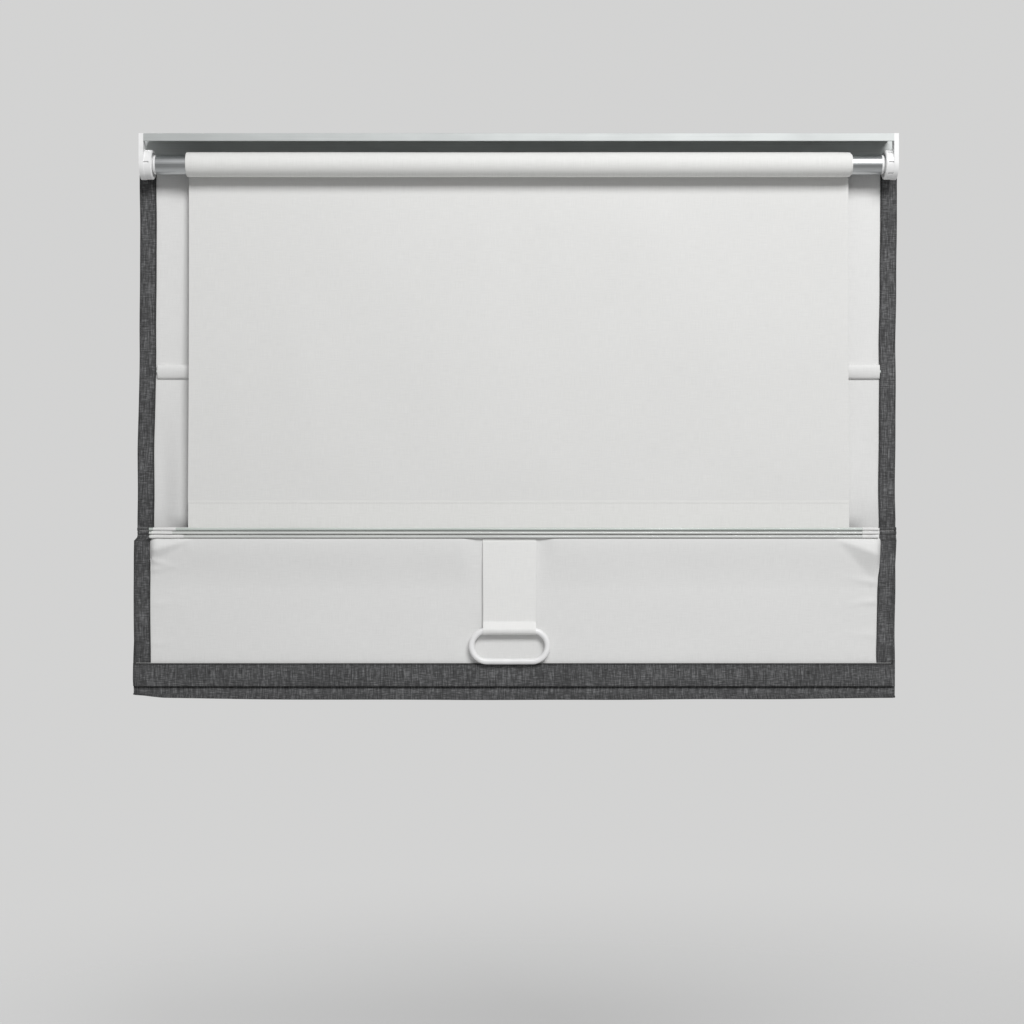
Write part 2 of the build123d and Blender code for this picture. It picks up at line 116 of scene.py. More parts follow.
# ---------------------------------------------------------------- finishes
class Recipe:
    """Builds the nodes of one finish."""

    def __init__(self, name: str) -> None:
        """Start a finish.

        Args:
            name: The name of the finish.
        """
        self.material = bpy.data.materials.new(name)
        self.material.use_nodes = True
        self.tree = self.material.node_tree
        self.shader = self.tree.nodes["Principled BSDF"]

    def put(self, kind: str, sockets: dict[str, object], **settings: object) -> bpy.types.Node:
        """Add a node.

        Args:
            kind: The node's type.
            sockets: Values or outputs for its inputs, by name or number.
            **settings: The node's own settings.

        Returns:
            The new node.
        """
        node = self.tree.nodes.new(kind)
        for key, value in settings.items():
            setattr(node, key, value)
        for key, value in sockets.items():
            socket = node.inputs[key]
            if isinstance(value, Socket):
                self.tree.links.new(value, socket)
            else:
                socket.default_value = value
        return node

    def calc(self, operation: str, first: object, second: object = 0.0) -> Socket:
        """Add one sum.

        Args:
            operation: The kind of sum.
            first: Its first value.
            second: Its second value.

        Returns:
            The output that holds the answer.
        """
        return self.put("ShaderNodeMath", {0: first, 1: second}, operation=operation).outputs[0]

    def mixed(self, *parts: tuple[Socket, float], base: float = 0.0) -> Socket:
        """Add up shares of several patterns.

        Args:
            *parts: Each pattern with its share.
            base: What they are added to.

        Returns:
            The output that holds the sum.
        """
        total = base
        for pattern, share in parts:
            total = self.calc("ADD", total, self.calc("MULTIPLY", pattern, share))
        return total

    def cloth_part(self, part: int) -> Socket:
        """The place on a cloth one way only.

        Args:
            part: 0 for across the cloth, 1 for along it.

        Returns:
            The output that holds the place, in metres.
        """
        flat = self.put("ShaderNodeUVMap", {}, uv_map=CLOTH_MAP)
        return self.put("ShaderNodeSeparateXYZ", {0: flat.outputs[0]}).outputs[part]

    def cloth_place(self, across: float, along: float) -> Socket:
        """The place on a cloth, in its own flat size.

        Args:
            across: How many pattern units there are in a metre across the cloth.
            along: How many there are in a metre along it.

        Returns:
            The output that holds the place.
        """
        flat = self.put("ShaderNodeUVMap", {}, uv_map=CLOTH_MAP)
        scaled = {"Vector": flat.outputs[0], "Scale": (across, along, 1.0)}
        return self.put("ShaderNodeMapping", scaled).outputs[0]

    def solid_place(self, scale: tuple[float, float, float]) -> Socket:
        """The place in a hard piece.

        Args:
            scale: How many pattern units there are in a metre each way.

        Returns:
            The output that holds the place.
        """
        place = self.put("ShaderNodeTexCoord", {})
        return self.put("ShaderNodeMapping", {"Vector": place.outputs["Object"], "Scale": scale}).outputs[0]

    def cloud(self, place: object, detail: float = 2.0, roughness: float = 0.5) -> Socket:
        """Add an uneven pattern.

        Args:
            place: Where it is read.
            detail: How many finer layers it has.
            roughness: How strong the finer layers are.

        Returns:
            The output that holds the pattern, from 0 to 1.
        """
        sockets = {"Vector": place, "Scale": 1.0, "Detail": detail, "Roughness": roughness}
        return self.put("ShaderNodeTexNoise", sockets).outputs[0]

    def weave(self, pitch: float) -> Socket:
        """Add a plain weave.

        Args:
            pitch: From one thread to the next, in metres.

        Returns:
            The output that holds the height of the threads, from -1 to 1.
        """
        turns = math.pi / pitch
        across = self.calc("SINE", self.calc("MULTIPLY", self.cloth_part(0), turns))
        along = self.calc("SINE", self.calc("MULTIPLY", self.cloth_part(1), turns))
        return self.calc("MULTIPLY", across, along)

    def between(self, factor: object, stops: Sequence[tuple[float, Colour]]) -> Socket:
        """Add a run of colours.

        Args:
            factor: What picks the colour.
            stops: Each colour with its place, from 0 to 1.

        Returns:
            The output that holds the colour.
        """
        ramp = self.put("ShaderNodeValToRGB", {0: factor})
        elements = ramp.color_ramp.elements
        while len(elements) < len(stops):
            elements.new(0.5)
        for element, (position, colour) in zip(elements, stops):
            element.position = position
            element.color = colour
        return ramp.outputs[0]

    def relief(self, height: object, distance: float, strength: float = 1.0) -> None:
        """Give the surface its fine relief.

        Args:
            height: The output that holds the height.
            distance: How deep the relief is, in metres.
            strength: How much of it shows.
        """
        sockets = {"Height": height, "Distance": distance, "Strength": strength}
        bump = self.put("ShaderNodeBump", sockets)
        self.tree.links.new(bump.outputs[0], self.shader.inputs["Normal"])

    def surface(self, colour: Socket, roughness: Socket, **fixed: float) -> None:
        """Join the colour and roughness to the shader, and set what is even all over.

        Args:
            colour: The output that holds the colour.
            roughness: The output that holds the roughness.
            **fixed: Even values, by the shader's own names with _ for a space.
        """
        self.tree.links.new(colour, self.shader.inputs["Base Color"])
        self.tree.links.new(roughness, self.shader.inputs["Roughness"])
        for key, value in fixed.items():
            self.shader.inputs[key.replace("_", " ")].default_value = value


@dataclass(frozen=True)
class Linen:
    """A charcoal linen with slubs in both directions, and painted shade lines along its hems and ends."""

    name: str = "charcoal_linen"
    thread_pitch: float = 0.85 * MM
    relief_depth: float = 0.22 * MM
    dark: Colour = grey(0.03, (1.0, 1.0, 1.02))
    middle: Colour = grey(0.078, (0.995, 1.0, 1.02))
    light: Colour = grey(0.24, (0.995, 1.0, 1.02))
    hem_reach: float = 25.0 * MM
    # painted shade: dark lines at the side hems' outer folds and at their inner edges, where shadow falls by
    # the lining
    side_shade_stops: Stops = ((0.0, 1.0), (0.05, 0.8), (0.1, 0.0), (0.7, 0.0), (0.8, 0.7), (0.9, 0.0))
    # painted shade: dark lines at the cloth's two ends, at the rail and along the top edge of the bottom hem
    end_shade_stops: Stops = ((0.0, 1.0), (0.06, 0.9), (0.12, 0.0))

    def hem_edge_shade(self, recipe: Recipe, part: int, size: float, stops: Stops) -> Socket:
        """How much painted shade the cloth takes by one pair of its edges, in lines along its hems and ends.

        Args:
            recipe: The finish being made.
            part: 0 for the sides, 1 for the ends.
            size: The flat size of the cloth that way, in metres.
            stops: Places, as shares of the hem's reach in from the edge, with their painted shade.

        Returns:
            The output that holds the painted shade.
        """
        off_middle = recipe.calc("ABSOLUTE", recipe.calc("SUBTRACT", recipe.cloth_part(part), size / 2))
        inward = recipe.calc("SUBTRACT", size / 2, off_middle)
        share = recipe.calc("DIVIDE", inward, self.hem_reach)
        return recipe.between(share, [(at, grey(dark)) for at, dark in stops])

    def make(self, width: float, length: float) -> bpy.types.Material:
        """Make the finish.

        Args:
            width: The flat width of the cloth, in metres.
            length: The flat length of the cloth, in metres.

        Returns:
            The finish.
        """
        recipe = Recipe(self.name)
        weft = recipe.cloud(recipe.cloth_place(110.0, 800.0), 3.0, 0.6)
        warp = recipe.cloud(recipe.cloth_place(780.0, 70.0), 3.0, 0.6)
        slub = recipe.cloud(recipe.cloth_place(420.0, 24.0), 3.0, 0.6)
        broad = recipe.cloud(recipe.cloth_place(10.0, 26.0), 2.0, 0.5)
        sides = self.hem_edge_shade(recipe, 0, width, self.side_shade_stops)
        ends = self.hem_edge_shade(recipe, 1, length, self.end_shade_stops)
        # painted shade: the stronger of the two sets of hem lines, taken off the tone below
        hem_shade_lines = recipe.calc("MAXIMUM", sides, ends)
        tone = recipe.mixed((weft, 0.36), (warp, 0.38), (slub, 0.18), (broad, 0.08), (hem_shade_lines, -0.1))
        colour = recipe.between(tone, [(0.38, self.dark), (0.5, self.middle), (0.64, self.light)])
        roughness = recipe.mixed((weft, 0.15), base=0.75)
        recipe.relief(recipe.mixed((recipe.weave(self.thread_pitch), 0.35), (tone, 2.2)), self.relief_depth)
        recipe.surface(colour, roughness, Sheen_Weight=0.18, Sheen_Roughness=0.5, Specular_IOR_Level=0.25)
        return recipe.material


@dataclass(frozen=True)
class PlainCloth:
    """A plain white cloth with a fine weave, and painted shade in its creases."""

    name: str
    shade: Colour
    bright: Colour
    thread_pitch: float = 0.45 * MM
    crease_depth: float = 0.22 * MM
    cover: float = 1.0
    sheen: float = 0.1

    def make(self) -> bpy.types.Material:
        """Returns the finish."""
        recipe = Recipe(self.name)
        weft = recipe.cloud(recipe.cloth_place(60.0, 1500.0), 2.0, 0.5)
        warp = recipe.cloud(recipe.cloth_place(1500.0, 60.0), 2.0, 0.5)
        crease = recipe.cloud(recipe.cloth_place(9.0, 13.0), 2.0, 0.45)
        # painted shade: the crease pattern, which also sets the relief, darkens the colour in its hollows;
        # weft and warp are the threads' own tone
        tone = recipe.mixed((weft, 0.45), (warp, 0.45), (crease, 0.1))
        colour = recipe.between(tone, [(0.3, self.shade), (0.68, self.bright)])
        roughness = recipe.mixed((warp, 0.12), base=0.78)
        woven = recipe.weave(self.thread_pitch)
        recipe.relief(recipe.mixed((woven, 0.12), (weft, 0.2), (warp, 0.2), (crease, 1.0)), self.crease_depth)
        fixed = {"Sheen_Weight": self.sheen, "Specular_IOR_Level": 0.3, "Alpha": self.cover}
        recipe.surface(colour, roughness, **fixed)
        return recipe.material


@dataclass(frozen=True)
class Webbing:
    """A woven tape with slanting ribs."""

    name: str
    shade: Colour
    bright: Colour
    rib_pitch: float
    pile_height: float
    relief_depth: float = 0.12 * MM

    def make(self) -> bpy.types.Material:
        """Returns the finish."""
        recipe = Recipe(self.name)
        slant = recipe.mixed((recipe.cloth_part(0), 1.0), (recipe.cloth_part(1), 0.6))
        ribs = recipe.calc("SINE", recipe.calc("MULTIPLY", slant, 2 * math.pi / self.rib_pitch))
        yarn = recipe.cloud(recipe.cloth_place(900.0, 260.0), 2.0, 0.55)
        pile = recipe.cloud(recipe.cloth_place(2600.0, 2600.0), 1.0, 0.5)
        tone = recipe.mixed((ribs, 0.12), (yarn, 0.9))
        colour = recipe.between(tone, [(0.3, self.shade), (0.6, self.bright)])
        roughness = recipe.mixed((yarn, 0.12), base=0.78)
        recipe.relief(recipe.mixed((ribs, 1.0), (pile, self.pile_height)), self.relief_depth)
        recipe.surface(colour, roughness, Sheen_Weight=0.1, Specular_IOR_Level=0.3)
        return recipe.material


@dataclass(frozen=True)
class DrawnMetal:
    """Metal with fine lines drawn along it."""

    name: str
    shade: Colour
    bright: Colour
    roughness: float
    metallic: float
    line_depth: float = 0.03 * MM

    def make(self) -> bpy.types.Material:
        """Returns the finish."""
        recipe = Recipe(self.name)
        lines = recipe.cloud(recipe.solid_place((6.0, 1800.0, 1800.0)), 2.0, 0.6)
        stains = recipe.cloud(recipe.solid_place((14.0, 30.0, 30.0)), 3.0, 0.5)
        tone = recipe.mixed((lines, 0.5), (stains, 0.5))
        colour = recipe.between(tone, [(0.35, self.shade), (0.6, self.bright)])
        roughness = recipe.mixed((lines, 0.16), base=self.roughness)
        recipe.relief(lines, self.line_depth)
        recipe.surface(colour, roughness, Metallic=self.metallic)
        return recipe.material


@dataclass(frozen=True)
class MouldedPlastic:
    """A moulded plastic with a faint grain."""

    name: str
    shade: Colour
    bright: Colour
    roughness: float = 0.31
    grain_depth: float = 0.02 * MM

    def make(self) -> bpy.types.Material:
        """Returns the finish."""
        recipe = Recipe(self.name)
        grain = recipe.cloud(recipe.solid_place((2200.0, 2200.0, 2200.0)), 2.0, 0.5)
        flow = recipe.cloud(recipe.solid_place((45.0, 45.0, 45.0)), 3.0, 0.55)
        colour = recipe.between(flow, [(0.35, self.shade), (0.62, self.bright)])
        roughness = recipe.mixed((flow, 0.14), base=self.roughness)
        recipe.relief(grain, self.grain_depth)
        recipe.surface(colour, roughness, Coat_Weight=0.05, Specular_IOR_Level=0.5)
        return recipe.material


@dataclass(frozen=True)
class FibreRod:
    """A pale green drawn rod of glass fibre and resin."""

    name: str = "glass_fibre"
    shade: Colour = grey(0.5, (0.9, 1.0, 0.93))
    bright: Colour = grey(0.72, (0.94, 1.0, 0.96))
    line_depth: float = 0.03 * MM

    def make(self) -> bpy.types.Material:
        """Returns the finish."""
        recipe = Recipe(self.name)
        fibres = recipe.cloud(recipe.solid_place((9.0, 2400.0, 2400.0)), 2.0, 0.6)
        colour = recipe.between(fibres, [(0.35, self.shade), (0.62, self.bright)])
        roughness = recipe.mixed((fibres, 0.15), base=0.24)
        recipe.relief(fibres, self.line_depth)
        recipe.surface(colour, roughness, Coat_Weight=0.15)
        return recipe.material


class Finishes:
    """The finishes of the blind's hard parts, rods, white cloths and tapes, each made once; the linen is made
    with its cloth.
    """

    def __init__(self) -> None:
        """Make the finishes."""
        warm, warmer = (1.0, 1.0, 0.99), (1.0, 1.0, 0.985)
        fine = {"thread_pitch": 0.35 * MM, "crease_depth": 0.15 * MM}
        wound = grey(0.75, (1.0, 1.0, 0.975)), grey(0.84, (1.0, 1.0, 0.98))
        single = grey(0.79, warmer), grey(0.87, warmer)
        strap = grey(0.80, warmer), grey(0.88, warmer)
        self.lining = PlainCloth("white_lining", grey(0.75, warm), grey(0.83, warm)).make()
        self.panel = PlainCloth("panel_cloth", *wound, **fine).make()
        self.sheer = PlainCloth("panel_cloth_single", *single, **fine, cover=0.9).make()
        self.strap = PlainCloth("strap_cloth", *strap, thread_pitch=0.6 * MM).make()
        self.tape = Webbing("white_tape", grey(0.68), grey(0.82), 1.0 * MM, 3.2).make()
        self.thread = Webbing("white_thread", grey(0.7), grey(0.84), 0.5 * MM, 1.6).make()
        rail_tint, tube_tint = (0.96, 1.0, 0.99), (0.97, 1.0, 1.01)
        rail = grey(0.48, rail_tint), grey(0.58, rail_tint)
        tube = grey(0.46, tube_tint), grey(0.62, tube_tint)
        self.rail = DrawnMetal("rail_aluminium", *rail, roughness=0.42, metallic=0.35).make()
        self.tube = DrawnMetal("tube_aluminium", *tube, roughness=0.26, metallic=1.0).make()
        self.steel = DrawnMetal("spring_steel", grey(0.22), grey(0.38), roughness=0.3, metallic=1.0).make()
        self.plastic = MouldedPlastic("white_plastic", grey(0.85), grey(0.93)).make()
        # painted shade: rods 3 and 4 lie in the shade under rod 2, so they take a greyer, less green copy of
        # the rod finish
        pale = grey(0.56, (0.97, 1.0, 0.97)), grey(0.76, (0.98, 1.0, 0.98))
        self.fibre = FibreRod().make()
        self.shade_grey_fibre = FibreRod("glass_fibre_shade_grey", *pale).make()


# ---------------------------------------------------------------- mesh tools
def sharpen(mesh: bpy.types.Mesh, angle: float = 50.0) -> None:
    """Shade a mesh smooth, apart from its sharp edges.

    Args:
        mesh: The mesh.
        angle: The angle of a sharp edge, in degrees.
    """
    mesh.shade_smooth()
    mesh.set_sharp_from_angle(angle=math.radians(angle))


def piece_from(name: str, points: np.ndarray, faces: np.ndarray, flat: np.ndarray) -> bpy.types.Object:
    """Make a piece from its points and four-sided faces.

    Args:
        name: The name of the piece.
        points: Its points, one a row.
        faces: Its faces, four point numbers a row.
        flat: Each point's place on the flat cloth, one a row.

    Returns:
        The piece.
    """
    mesh = bpy.data.meshes.new(name)
    mesh.from_pydata(points.tolist(), [], faces.tolist())
    layer = mesh.uv_layers.new(name=CLOTH_MAP)
    layer.uv.foreach_set("vector", flat[faces.ravel()].astype(np.float32).ravel())
    mesh.update()
    sharpen(mesh)
    piece = bpy.data.objects.new(name, mesh)
    bpy.context.scene.collection.objects.link(piece)
    return piece


def stacked(*parts: np.ndarray) -> np.ndarray:
    """Returns arrays of matching shapes as one array of points."""
    return np.stack(np.broadcast_arrays(*parts), axis=-1)


def grid_faces(rows: int, columns: int, first: int = 0, around: bool = False) -> np.ndarray:
    """The faces between rows of points.

    Args:
        rows: The number of rows.
        columns: The number of points in a row.
        first: The number of the first point.
        around: Whether the last column joins the first.

    Returns:
        The faces, four point numbers a row.
    """
    number = np.arange(rows * columns).reshape(rows, columns) + first
    if around:
        number = np.hstack([number, number[:, :1]])
    corners = (number[:-1, :-1], number[:-1, 1:], number[1:, 1:], number[1:, :-1])
    return np.stack(corners, axis=-1).reshape(-1, 4)


def thicken(piece: bpy.types.Object, thickness: float, even: bool = True) -> None:
    """Give a sheet its thickness, half to each side.

    Args:
        piece: The sheet.
        thickness: Its thickness.
        even: Whether it keeps that thickness at its bends.
    """
    solid = piece.modifiers.new("thickness", "SOLIDIFY")
    solid.thickness = thickness
    solid.offset = 0.0
    solid.use_even_offset = even
    shown = piece.evaluated_get(bpy.context.evaluated_depsgraph_get())
    final = bpy.data.meshes.new_from_object(shown)
    piece.modifiers.clear()
    piece.data = final
    sharpen(piece.data)


def loft(
    name: str, points: np.ndarray, flat: np.ndarray, thickness: float, around: bool = False
) -> bpy.types.Object:
    """Join rows of points into a sheet and give it its thickness.

    Args:
        name: The name of the piece.
        points: Its points, in rows and columns.
        flat: Each point's place on the flat cloth, in the same rows and columns.
        thickness: The thickness of the sheet, or 0 for a skin.
        around: Whether the last column joins the first.

    Returns:
        The piece.
    """
    faces = grid_faces(*points.shape[:2], around=around)
    piece = piece_from(name, points.reshape(-1, 3), faces, flat.reshape(-1, 2))
    if thickness:
        thicken(piece, thickness)
    return piece


def dress(piece: bpy.types.Object, finish: bpy.types.Material) -> bpy.types.Object:
    """Give a piece its finish.

    Args:
        piece: The piece, or a frame node.
        finish: The finish.

    Returns:
        The same piece.
    """
    piece.data.materials.clear()
    piece.data.materials.append(finish)
    return piece


def centre_of(node: str) -> Vector:
    """Returns the middle of a frame node's box."""
    low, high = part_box(node)
    return (low + high) / 2


@dataclass(frozen=True)
class Ripple:
    """A smooth seeded unevenness over a cloth."""

    seed: int
    length: float
    waves: int = 12
    across_stretch: float = 1.0

    def at(self, across: np.ndarray, along: np.ndarray) -> np.ndarray:
        """The height of the ripple.

        Args:
            across: Places across the cloth, in metres.
            along: Places along it, in metres.

        Returns:
            The heights, mostly from -1 to 1.
        """
        draw = np.random.default_rng(self.seed)
        total = np.zeros(np.broadcast(across, along).shape)
        for _ in range(self.waves):
            angle, phase = draw.uniform(0.0, 2 * math.pi, 2)
            wave = 2 * math.pi / (self.length * draw.uniform(0.7, 2.0))
            level = across * math.cos(angle) / self.across_stretch + along * math.sin(angle)
            total = total + np.sin(level * wave + phase)
        return total / math.sqrt(2 * self.waves)


@dataclass(frozen=True)
class Corner:
    """One corner of a cloth's side view, in millimetres."""

    y: float
    z: float
    radius: float = 0.0
    hem: float = 0.0


@dataclass
class SidePath:
    """The side view of a hanging cloth: straight runs and rounded corners."""

    corners: Sequence[Corner]
    run_step: float = 9.0
    arc_steps: int = 5

    def rounded(self) -> list[tuple[float, float, float]]:
        """Returns the points of the runs' ends and the arcs, each with its hem gap."""
        found: list[tuple[float, float, float]] = []
        last = len(self.corners) - 1
        for number, corner in enumerate(self.corners):
            here = np.array((corner.y, corner.z))
            if number in (0, last) or corner.radius == 0.0:
                found.append((corner.y, corner.z, corner.hem))
                continue
            before = self.corners[number - 1]
            after = self.corners[number + 1]
            back = np.array((before.y, before.z)) - here
            on = np.array((after.y, after.z)) - here
            back /= np.linalg.norm(back)
            on /= np.linalg.norm(on)
            half = math.acos(float(np.clip(back @ on, -1.0, 1.0))) / 2
            middle = (back + on) / np.linalg.norm(back + on)
            centre = here + middle * corner.radius / math.sin(half)
            reach = corner.radius / math.tan(half)
            first = here + back * reach - centre
            second = here + on * reach - centre
            start = math.atan2(first[1], first[0])
            turn = math.atan2(second[1], second[0]) - start
            turn = (turn + math.pi) % (2 * math.pi) - math.pi
            for share in np.linspace(0.0, 1.0, self.arc_steps + 1):
                angle = start + turn * share
                y = centre[0] + corner.radius * math.cos(angle)
                z = centre[1] + corner.radius * math.sin(angle)
                found.append((y, z, corner.hem))
        return found

    def trace(self) -> tuple[np.ndarray, np.ndarray, np.ndarray, np.ndarray]:
        """Follow the path.

        Returns:
            In metres, the points, the direction of the lining's side at each, the gap to a side
            hem at each, and the distance along the path.
        """
        ends = np.array(self.rounded())
        rows = [ends[0]]
        for start, end in zip(ends[:-1], ends[1:]):
            length = float(np.linalg.norm(end[:2] - start[:2]))
            if length < 0.02:
                continue
            count = max(1, math.ceil(length / self.run_step))
            rows.extend(start + (end - start) * share for share in np.linspace(0.0, 1.0, count + 1)[1:])
        rows = np.array(rows) * MM
        points, hems = rows[:, :2], rows[:, 2]
        steps = np.linalg.norm(np.diff(points, axis=0), axis=1)
        distance = np.concatenate([[0.0], np.cumsum(steps)])
        heading = np.gradient(points, distance, axis=0)
        heading /= np.linalg.norm(heading, axis=1)[:, None]
        side = np.stack([heading[:, 1], -heading[:, 0]], axis=1)
        return points, side, hems, distance


@dataclass(frozen=True)
class Hang:
    """How the layers of cloth ease out of true as they hang. Every layer takes the same push."""

    rib_z: float
    stack_top: float
    broad: Ripple = Ripple(11, 0.34)
    fine: Ripple = Ripple(12, 0.11, across_stretch=0.8)
    broad_height: float = 0.8
    fine_height: float = 0.3
    fold_swell: float = 2.2 * MM

    def push(self, x: np.ndarray, z: np.ndarray) -> np.ndarray:
        """How far the cloth stands towards the room.

        Args:
            x: Places across the blind.
            z: Heights.

        Returns:
            The push at each place, in metres.
        """
        below_rail = ease(-z, 0.03, 0.12)
        by_rib = 0.35 + 0.65 * ease(np.abs(z - self.rib_z), 0.004, 0.05)
        by_stack = ease(np.abs(z - self.stack_top + 8 * MM), 0.012, 0.05)
        near_foot = 1.0 - 0.8 * ease(-z, 0.58, 0.63)
        size = below_rail * by_rib * by_stack * near_foot
        waves = self.broad_height * self.broad.at(x, z) + self.fine_height * self.fine.at(x, z)
        return waves * size * MM

    def belly(self, z: np.ndarray) -> np.ndarray:
        """How far the open fold swells towards the room, in metres."""
        top = ease(-z, 0.285, 0.40)
        return self.fold_swell * top * (1.0 - 0.5 * ease(-z, 0.50, 0.576))


class Slip(Enum):
    """How far the sides of a layer have slipped off true.

    Each holds drops from the rail's top, left slips and right slips, in millimetres.
    """

    UPPER = (
        (0, 70, 257, 315, 373, 431, 460, 576),
        (0, -0.4, -1.0, -2.1, -3.2, -3.6, -4.1, -4.3),
        (0.6, 0.7, -1.5, -1.4, -1.3, -1.4, -0.8, -4.0),
    )
    SKIRT = (
        (466, 479.5, 483.5, 547, 619, 659),
        (-0.5, -0.5, -4.7, -5.7, -5.2, -5.2),
        (-4.0, -4.0, -3.1, -6.2, -8.0, -6.4),
    )
    FOLDS = ((482, 632), (-0.5, -6.4), (-4.0, -4.3))

    def at(self, z: np.ndarray) -> tuple[np.ndarray, np.ndarray]:
        """Returns the slip of the left and of the right side at the heights z, in metres."""
        drops, left, right = self.value
        return MM * np.interp(-z / MM, drops, left), MM * np.interp(-z / MM, drops, right)


# ---------------------------------------------------------------- cloth
@dataclass
class FaceCloth:
    """The linen: one length, from the rail down the open fold, the gathered folds and the skirt."""

    hang: Hang
    half_width: float = 457.0 * MM
    thickness: float = 0.7 * MM
    hem_width: float = 20.0 * MM
    bottom_hem: float = 27.5
    fold_gap: float = 2.6
    fold_step: float = 4.6
    column_step: float = 11.0 * MM
    path: SidePath = field(init=False)

    def __post_init__(self) -> None:
        """Lay out the side view of the cloth from the frame's own boxes."""
        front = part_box("upper_cloth")[1].y / MM - 0.5
        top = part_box("upper_cloth")[1].z / MM
        open_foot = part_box("open_fold")[0].z / MM + 0.5
        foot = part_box("lower_cloth")[0].z / MM + 0.5
        fold_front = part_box("lower_cloth")[1].y / MM - 0.5
        ribs = [centre_of(f"rib_{number}").z / MM for number in (2, 3, 4)]
        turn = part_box("panel_hem")[1].y / MM + 1.2
        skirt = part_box("bottom_bar")[1].y / MM + 0.8
        back_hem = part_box("bottom_bar")[0].y / MM - 0.8
        skirt_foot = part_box("bottom_bar")[0].z / MM - 0.8
        hem_top = skirt_foot + self.bottom_hem
        wide, mid, close, snug = 2.2, 1.3, 0.9, 0.7
        run = turn + 2.6
        half_turn, turn_radius, open_radius = 1.0, 0.95, 1.45
        corners = [
            Corner(front, top, hem=wide),
            Corner(front, ribs[0] + 26.0, hem=wide),
            Corner(front, ribs[0] - 4.0, hem=close),
            Corner(front, open_foot, open_radius, close),
            Corner(fold_front + 2.0, open_foot, open_radius, snug),
            Corner(fold_front + 2.0, ribs[0] + half_turn, 1.5, snug),
            Corner(run, ribs[0] + half_turn, hem=snug),
        ]
        fronts = (fold_front, fold_front - self.fold_step)
        feet = (foot, foot + 0.9)
        for rib, after, y, low, swell in zip(ribs, ribs[1:], fronts, feet, (0.01, 3.4)):
            behind = y - self.fold_gap
            last_turn = 1.5 if y == fold_front else 1.2
            corners += [
                Corner(turn, rib + half_turn, turn_radius, mid),
                Corner(turn, rib - half_turn, turn_radius, mid),
                Corner(run, rib - half_turn, hem=snug),
                Corner(y, rib - half_turn, 1.5, snug),
                Corner(y, low, 1.25, snug),
                Corner(behind - swell * 0.4, low, 1.25, snug),
                Corner(behind - swell, low + 8.6, 3.0, snug),
                Corner(behind, low + 15.0, 3.0, snug),
                Corner(behind, after + half_turn, last_turn, snug),
                Corner(run, after + half_turn, hem=snug),
            ]
        corners += [
            Corner(turn, ribs[2] + half_turn, turn_radius, mid),
            Corner(turn, ribs[2] - half_turn, turn_radius, mid),
            Corner(skirt, ribs[2] - 4.5, 2.5, 2.0),
            Corner(skirt, hem_top + 9.0, hem=2.1),
            Corner(skirt, hem_top - 1.0, hem=0.75),
            Corner(skirt, skirt_foot, 1.5, 0.75),
            Corner(back_hem, skirt_foot, 1.5, 0.75),
            Corner(back_hem - 1.5, skirt_foot + 9.0, 8.0, 0.75),
            Corner(back_hem, hem_top, hem=0.75),
        ]
        self.path = SidePath(corners)
        self.fold_y = (fold_front + 0.5) * MM
        self.skirt_y = (skirt + 0.6) * MM
        self.skirt_top = ribs[2] * MM
        self.open_length = (top - open_foot) * MM

    def columns(self, gap: np.ndarray) -> tuple[np.ndarray, np.ndarray, np.ndarray]:
        """Places across the cloth, with a hem turned behind each side.

        Args:
            Places across the cloth, with a hem folded behind each side.

        Returns:
            For each row and column, the place across, how far behind the cloth it is, and the
            place on the flat cloth.
        """
        gap = gap[:, None]
        hem = np.linspace(0.0, 1.0, 5)[None, :-1]
        arc = np.linspace(0.5 * math.pi, 1.5 * math.pi, 7)[None, :]
        flat_count = round(2 * self.half_width / self.column_step)
        middle = np.linspace(-1.0, 1.0, flat_count + 1)[None, 1:-1]
        edge = -self.half_width
        hem_x = edge + self.hem_width + (gap / 2 - self.hem_width) * hem
        arc_x = edge + gap / 2 + gap / 2 * np.cos(arc)
        arc_off = gap / 2 + gap / 2 * np.sin(arc)
        flat_x = (self.half_width - gap / 2) * middle
        x = np.hstack([hem_x, arc_x, flat_x, -arc_x[:, ::-1], -hem_x[:, ::-1]])
        hem_off = np.broadcast_to(gap, hem_x.shape)
        off = np.hstack([hem_off, arc_off, np.zeros_like(flat_x), arc_off[:, ::-1], hem_off[:, ::-1]])
        step = np.hypot(np.diff(x, axis=1), np.diff(off, axis=1))
        flat = np.hstack([np.zeros_like(gap), np.cumsum(step, axis=1)])
        return x, off, flat

    def slip(self, y: np.ndarray, z: np.ndarray, distance: np.ndarray) -> tuple[np.ndarray, np.ndarray]:
        """How far each side of the cloth has slipped off true along its length.

        Args:
            y: Places front to back along the path.
            z: Heights along the path.
            distance: Distances along the path.

        Returns:
            The slip of the left and of the right side, in metres.
        """
        upper, skirt, folds = Slip.UPPER.at(z), Slip.SKIRT.at(z), Slip.FOLDS.at(z)
        in_upper = distance < self.open_length
        in_skirt = (y < self.skirt_y) & (z < self.skirt_top)
        left = np.where(in_upper, upper[0], np.where(in_skirt, skirt[0], folds[0]))
        right = np.where(in_upper, upper[1], np.where(in_skirt, skirt[1], folds[1]))
        return left, right

